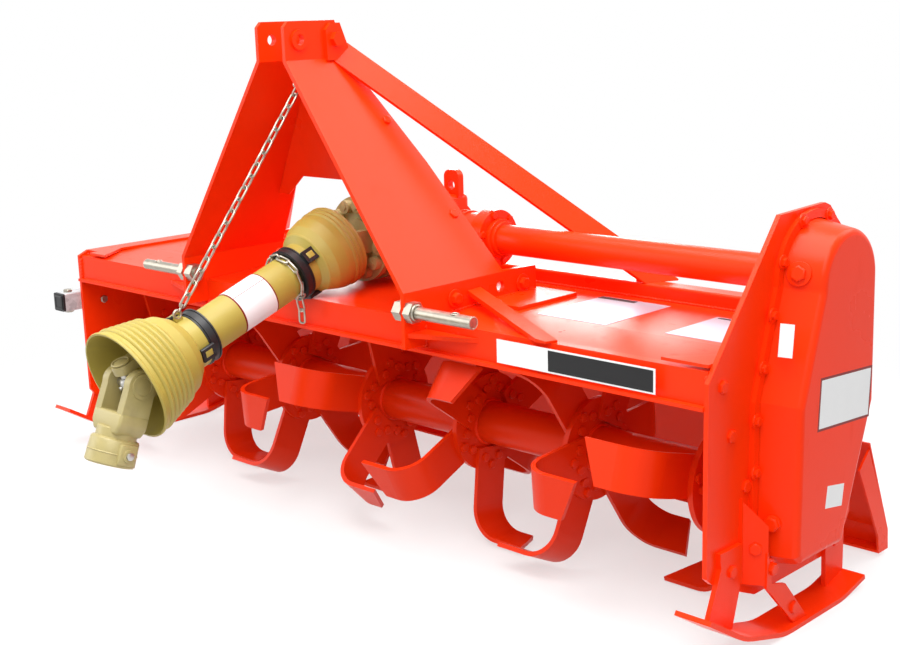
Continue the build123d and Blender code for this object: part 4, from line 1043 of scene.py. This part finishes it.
class TILLER_OT_chain(bpy.types.Operator):
    """The stay chain with its hooks, and the chain round the guard"""

    bl_idname = "tiller.chain"
    bl_label = "Chains"

    def execute(self, context):
        wire, pitch = sizes().chain_wire, sizes().link_pitch
        # middles of the hook on the guard and of the eye on the mast
        low, high = at(-44, -296, 468), at(-5.5, -28, 846)
        way = (high - low).normalized()
        places = chain([low + way * 0.016, high - way * 0.004], pitch)
        links = copies(link(wire, pitch + 2 * wire, 0.0165), places)
        hook = [
            wire_ring(low, RIGHT, 0.0075, 0.0024, 24),
            rod(low + way * 0.006, low + way * 0.020, 0.0024, 12),
            wire_ring(high, Vector((0.6, 0.8, 0)), 0.0085, 0.0024, 24),
        ]
        stay = settle(links + hook, "stay_chain_links", "zinc_plate", "chain")
        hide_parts("stay_chain")
        lug = plate(on_shaft(0.389, 0.049, 0.004), SHAFT_UP, SHAFT_DIR, 0.008, 0.016, 0.008, 0.001)
        loop = wire_ring(on_shaft(0.389, 0.058, 0.004), RIGHT, 0.0058, 0.0020, 20)
        settle([lug, loop], "chain_lug", "tan_plastic", "front_guard")
        around = [on_ring(147, 44.8, a)[0] for a in range(-150, 151, 10)]
        tail = [on_ring(147, 44.8, 150)[0], on_ring(150, 62, 158)[0], on_ring(156, 84, 166)[0]]
        wrap = copies(link(wire, pitch + 2 * wire, 0.0150), chain(around, pitch) + chain(tail, pitch))
        settle(wrap, "guard_chain", "zinc_plate", "front_guard")
        return {"FINISHED"}


# ---- rotor and tail board
class TILLER_OT_rotor(bpy.types.Operator):
    """Bolts and nuts of the blades, and the welds of the flanges"""

    bl_idname = "tiller.rotor"
    bl_label = "Rotor bolts"

    def execute(self, context):
        first, pitch = -774, 258  # places of the flanges along the rotor
        start, step = 14, 40  # turn of the first blade, and from flange to flange, in degrees
        heads, nuts = [], []
        for side in (1, -1):
            for flange in range(7):
                if flange == (6 if side > 0 else 0):
                    # the outer side of an end flange carries no blades
                    continue
                face = first + pitch * flange + side * 5
                for k in range(3):
                    turn = math.radians(start + step * flange + (k + (side < 0) / 2) * 120)
                    out = Vector((0, -math.sin(turn), math.cos(turn)))
                    over = Vector((0, math.cos(turn), math.sin(turn)))
                    # two bolts beside each other and one farther out
                    for radius, shift in ((64, -18), (64, 18), (80, 0)):
                        spot = at(face, ROTOR_Y, ROTOR_Z) + (out * radius + over * shift) * MM
                        heads.append((spot + RIGHT * side * 0.0081, RIGHT * side))
                        nuts.append((spot - RIGHT * side * 0.010, LEFT * side))
        settle(bolts(heads, 0.0088, 0.0060, 1.3), "blade_bolts", "rotor_paint", "rotor")
        settle(bolts(nuts, 0.0088, 0.0080, 1.25), "blade_nuts", "rotor_paint", "rotor")
        rims = [
            wire_ring(at(first + pitch * k + s * 5.5, ROTOR_Y, ROTOR_Z), RIGHT, 0.0412, 0.0034, 48)
            for k in range(7) for s in (1, -1)
        ]
        settle(rims, "flange_welds", "weld", "rotor", "rotor_paint")
        return {"FINISHED"}


class TILLER_OT_tail(bpy.types.Operator):
    """Pins and washers of the tail board's hinge, and the bolts of the board"""

    bl_idname = "tiller.tail"
    bl_label = "Tail board details"

    def execute(self, context):
        ends = []
        for s in (1, -1):
            pin = s * 844.3
            ends.append(boss(at(s * 842.2, HINGE_Y, HINGE_Z), RIGHT * s, 0.0145, 0.0018))
            ends.append(rod(at(pin, HINGE_Y, HINGE_Z - 11), at(pin, HINGE_Y, HINGE_Z + 12), 0.0016, 10))
        settle(ends, "hinge_pins", "zinc_plate", "frame")
        spots = [(at(x, 480.5, 226), (0, 0.99, 0.12)) for x in (-600, -200, 200, 600)]
        settle(bolts(spots, 0.010, 0.007, 1.5), "tail_board_bolts", "orange_paint", "tail_board")
        return {"FINISHED"}


# ---- finishes and stage
class TILLER_OT_finishes(bpy.types.Operator):
    """Puts a finish on every CAD node, by its material slot"""

    bl_idname = "tiller.finishes"
    bl_label = "Finishes"

    def execute(self, context):
        for part in frame["record"]["subparts"]:
            node = bpy.data.objects[part["node"]]
            node.data.materials.clear()
            node.data.materials.append(finish(part["material_slot"]))
        return {"FINISHED"}


def white_world():
    """Surroundings that are white to the camera and in reflections, and give a softer light."""
    world = bpy.data.worlds.new("studio")
    world.use_nodes = True
    nodes, links = world.node_tree.nodes, world.node_tree.links
    path = nodes.new("ShaderNodeLightPath")
    seen = nodes.new("ShaderNodeMath")
    seen.operation = "MAXIMUM"
    level = nodes.new("ShaderNodeMapRange")
    level.inputs["To Min"].default_value = 0.50
    level.inputs["To Max"].default_value = 1.0
    links.new(path.outputs["Is Camera Ray"], seen.inputs[0])
    links.new(path.outputs["Is Glossy Ray"], seen.inputs[1])
    links.new(seen.outputs[0], level.inputs["Value"])
    links.new(level.outputs[0], nodes["Background"].inputs["Strength"])
    nodes["Background"].inputs["Color"].default_value = (1, 1, 1, 1)
    return world


class TILLER_OT_stage(bpy.types.Operator):
    """Floor, soft studio light, white surroundings and the camera"""

    bl_idname = "tiller.stage"
    bl_label = "Stage"

    def execute(self, context):
        bpy.ops.mesh.primitive_plane_add(size=14, location=(0, 0, 0))
        floor = made()
        floor.name = "floor"
        paper = Finish("studio_floor", Roughness=0.9)
        paper.feed("Base Color", paper.mix(paper.noise(0.7), (0.90, 0.90, 0.90, 1), (0.93, 0.93, 0.93, 1)))
        away = paper.node("ShaderNodeVectorMath", {"operation": "LENGTH"}, {0: paper.here}, "Value")
        fade = paper.node(
            "ShaderNodeMapRange", {"interpolation_type": "SMOOTHSTEP"},
            {"Value": away, "From Min": 0.6, "From Max": 1.8, "To Min": 0.6},
        )
        clear = paper.node("ShaderNodeBsdfTransparent", {}, {})
        lit = Value(paper, paper.shader.outputs[0])
        cover = paper.node("ShaderNodeMixShader", {}, {0: fade, 1: lit, 2: clear})
        paper.tree.links.new(cover.socket, paper.tree.nodes["Material Output"].inputs["Surface"])
        floor.data.materials.append(paper.material)
        for name, watts, width, spot, aim in (
            # name, watts, width, place, target
            ("top_light", 160, 3.0, (0.2, -0.4, 3.3), (0, 0, 0)),
            ("key_light", 105, 3.0, (2.6, -2.4, 3.6), (0, 0, 0.3)),
            ("fill_light", 70, 3.0, (-3.6, -2.8, 2.0), (0, 0, 0.4)),
            ("rim_light", 50, 2.2, (1.5, 2.8, 3.2), (0, 0, 0.5)),
            ("back_light", 60, 1.6, (-2.4, 3.0, 1.35), (0, 0, 0.4)),
        ):
            bpy.ops.object.light_add(type="AREA", location=spot)
            lamp = made()
            lamp.name = name
            lamp.data.energy = watts
            lamp.data.size = width
            lamp.rotation_euler = (Vector(aim) - Vector(spot)).to_track_quat("-Z", "Y").to_euler()
        bpy.context.scene.world = white_world()
        # the camera's right, up and backward ways
        turn = Matrix(((0.7140, 0.6995, -0.0298), (-0.1321, 0.1764, 0.9754), (0.6876, -0.6925, 0.2183)))
        bpy.ops.object.camera_add()
        camera = made()
        camera.name = "photo_camera"
        camera.matrix_world = Matrix.Translation(at(1968.7, -1647.6, 970.7)) @ turn.transposed().to_4x4()
        camera.data.lens = 55.6
        camera.data.sensor_width = 36.0
        bpy.context.scene.camera = camera
        bpy.context.scene.view_settings.view_transform = "Standard"
        return {"FINISHED"}


# ---- panel and running
OPERATORS = (
    TILLER_OT_finishes,
    TILLER_OT_case,
    TILLER_OT_side_tube,
    TILLER_OT_hitch,
    TILLER_OT_welds,
    TILLER_OT_labels,
    TILLER_OT_gearbox,
    TILLER_OT_clutch,
    TILLER_OT_guards,
    TILLER_OT_yokes,
    TILLER_OT_chain,
    TILLER_OT_rotor,
    TILLER_OT_tail,
    TILLER_OT_stage,
)


class TILLER_PT_panel(bpy.types.Panel):
    """Sizes and colours, and a button for each group of pieces"""

    bl_idname = "TILLER_PT_panel"
    bl_label = "Rotary tiller"
    bl_space_type = "VIEW_3D"
    bl_region_type = "UI"
    bl_category = "Tiller"

    def draw(self, context):
        for settings in (context.scene.tiller_sizes, context.scene.tiller_colours):
            box = self.layout.box()
            for name in settings.__annotations__:
                box.prop(settings, name)
        for operator in OPERATORS:
            self.layout.operator(operator.bl_idname)


CLASSES = (TillerSizes, TillerColours) + OPERATORS + (TILLER_PT_panel,)


def register():
    """Adds the settings, the operators and the panel."""
    for each in CLASSES:
        bpy.utils.register_class(each)
    bpy.types.Scene.tiller_sizes = PointerProperty(type=TillerSizes)
    bpy.types.Scene.tiller_colours = PointerProperty(type=TillerColours)


def unregister():
    """Takes them out again."""
    del bpy.types.Scene.tiller_colours
    del bpy.types.Scene.tiller_sizes
    for each in reversed(CLASSES):
        bpy.utils.unregister_class(each)


def main():
    """Builds every group of pieces and the stage."""
    register()
    bpy.ops.tiller.finishes()
    bpy.ops.tiller.case()
    bpy.ops.tiller.side_tube()
    bpy.ops.tiller.hitch()
    bpy.ops.tiller.welds()
    bpy.ops.tiller.labels()
    bpy.ops.tiller.gearbox()
    bpy.ops.tiller.clutch()
    bpy.ops.tiller.guards()
    bpy.ops.tiller.yokes()
    bpy.ops.tiller.chain()
    bpy.ops.tiller.rotor()
    bpy.ops.tiller.tail()
    bpy.ops.tiller.stage()


if __name__ == "__main__":
    main()
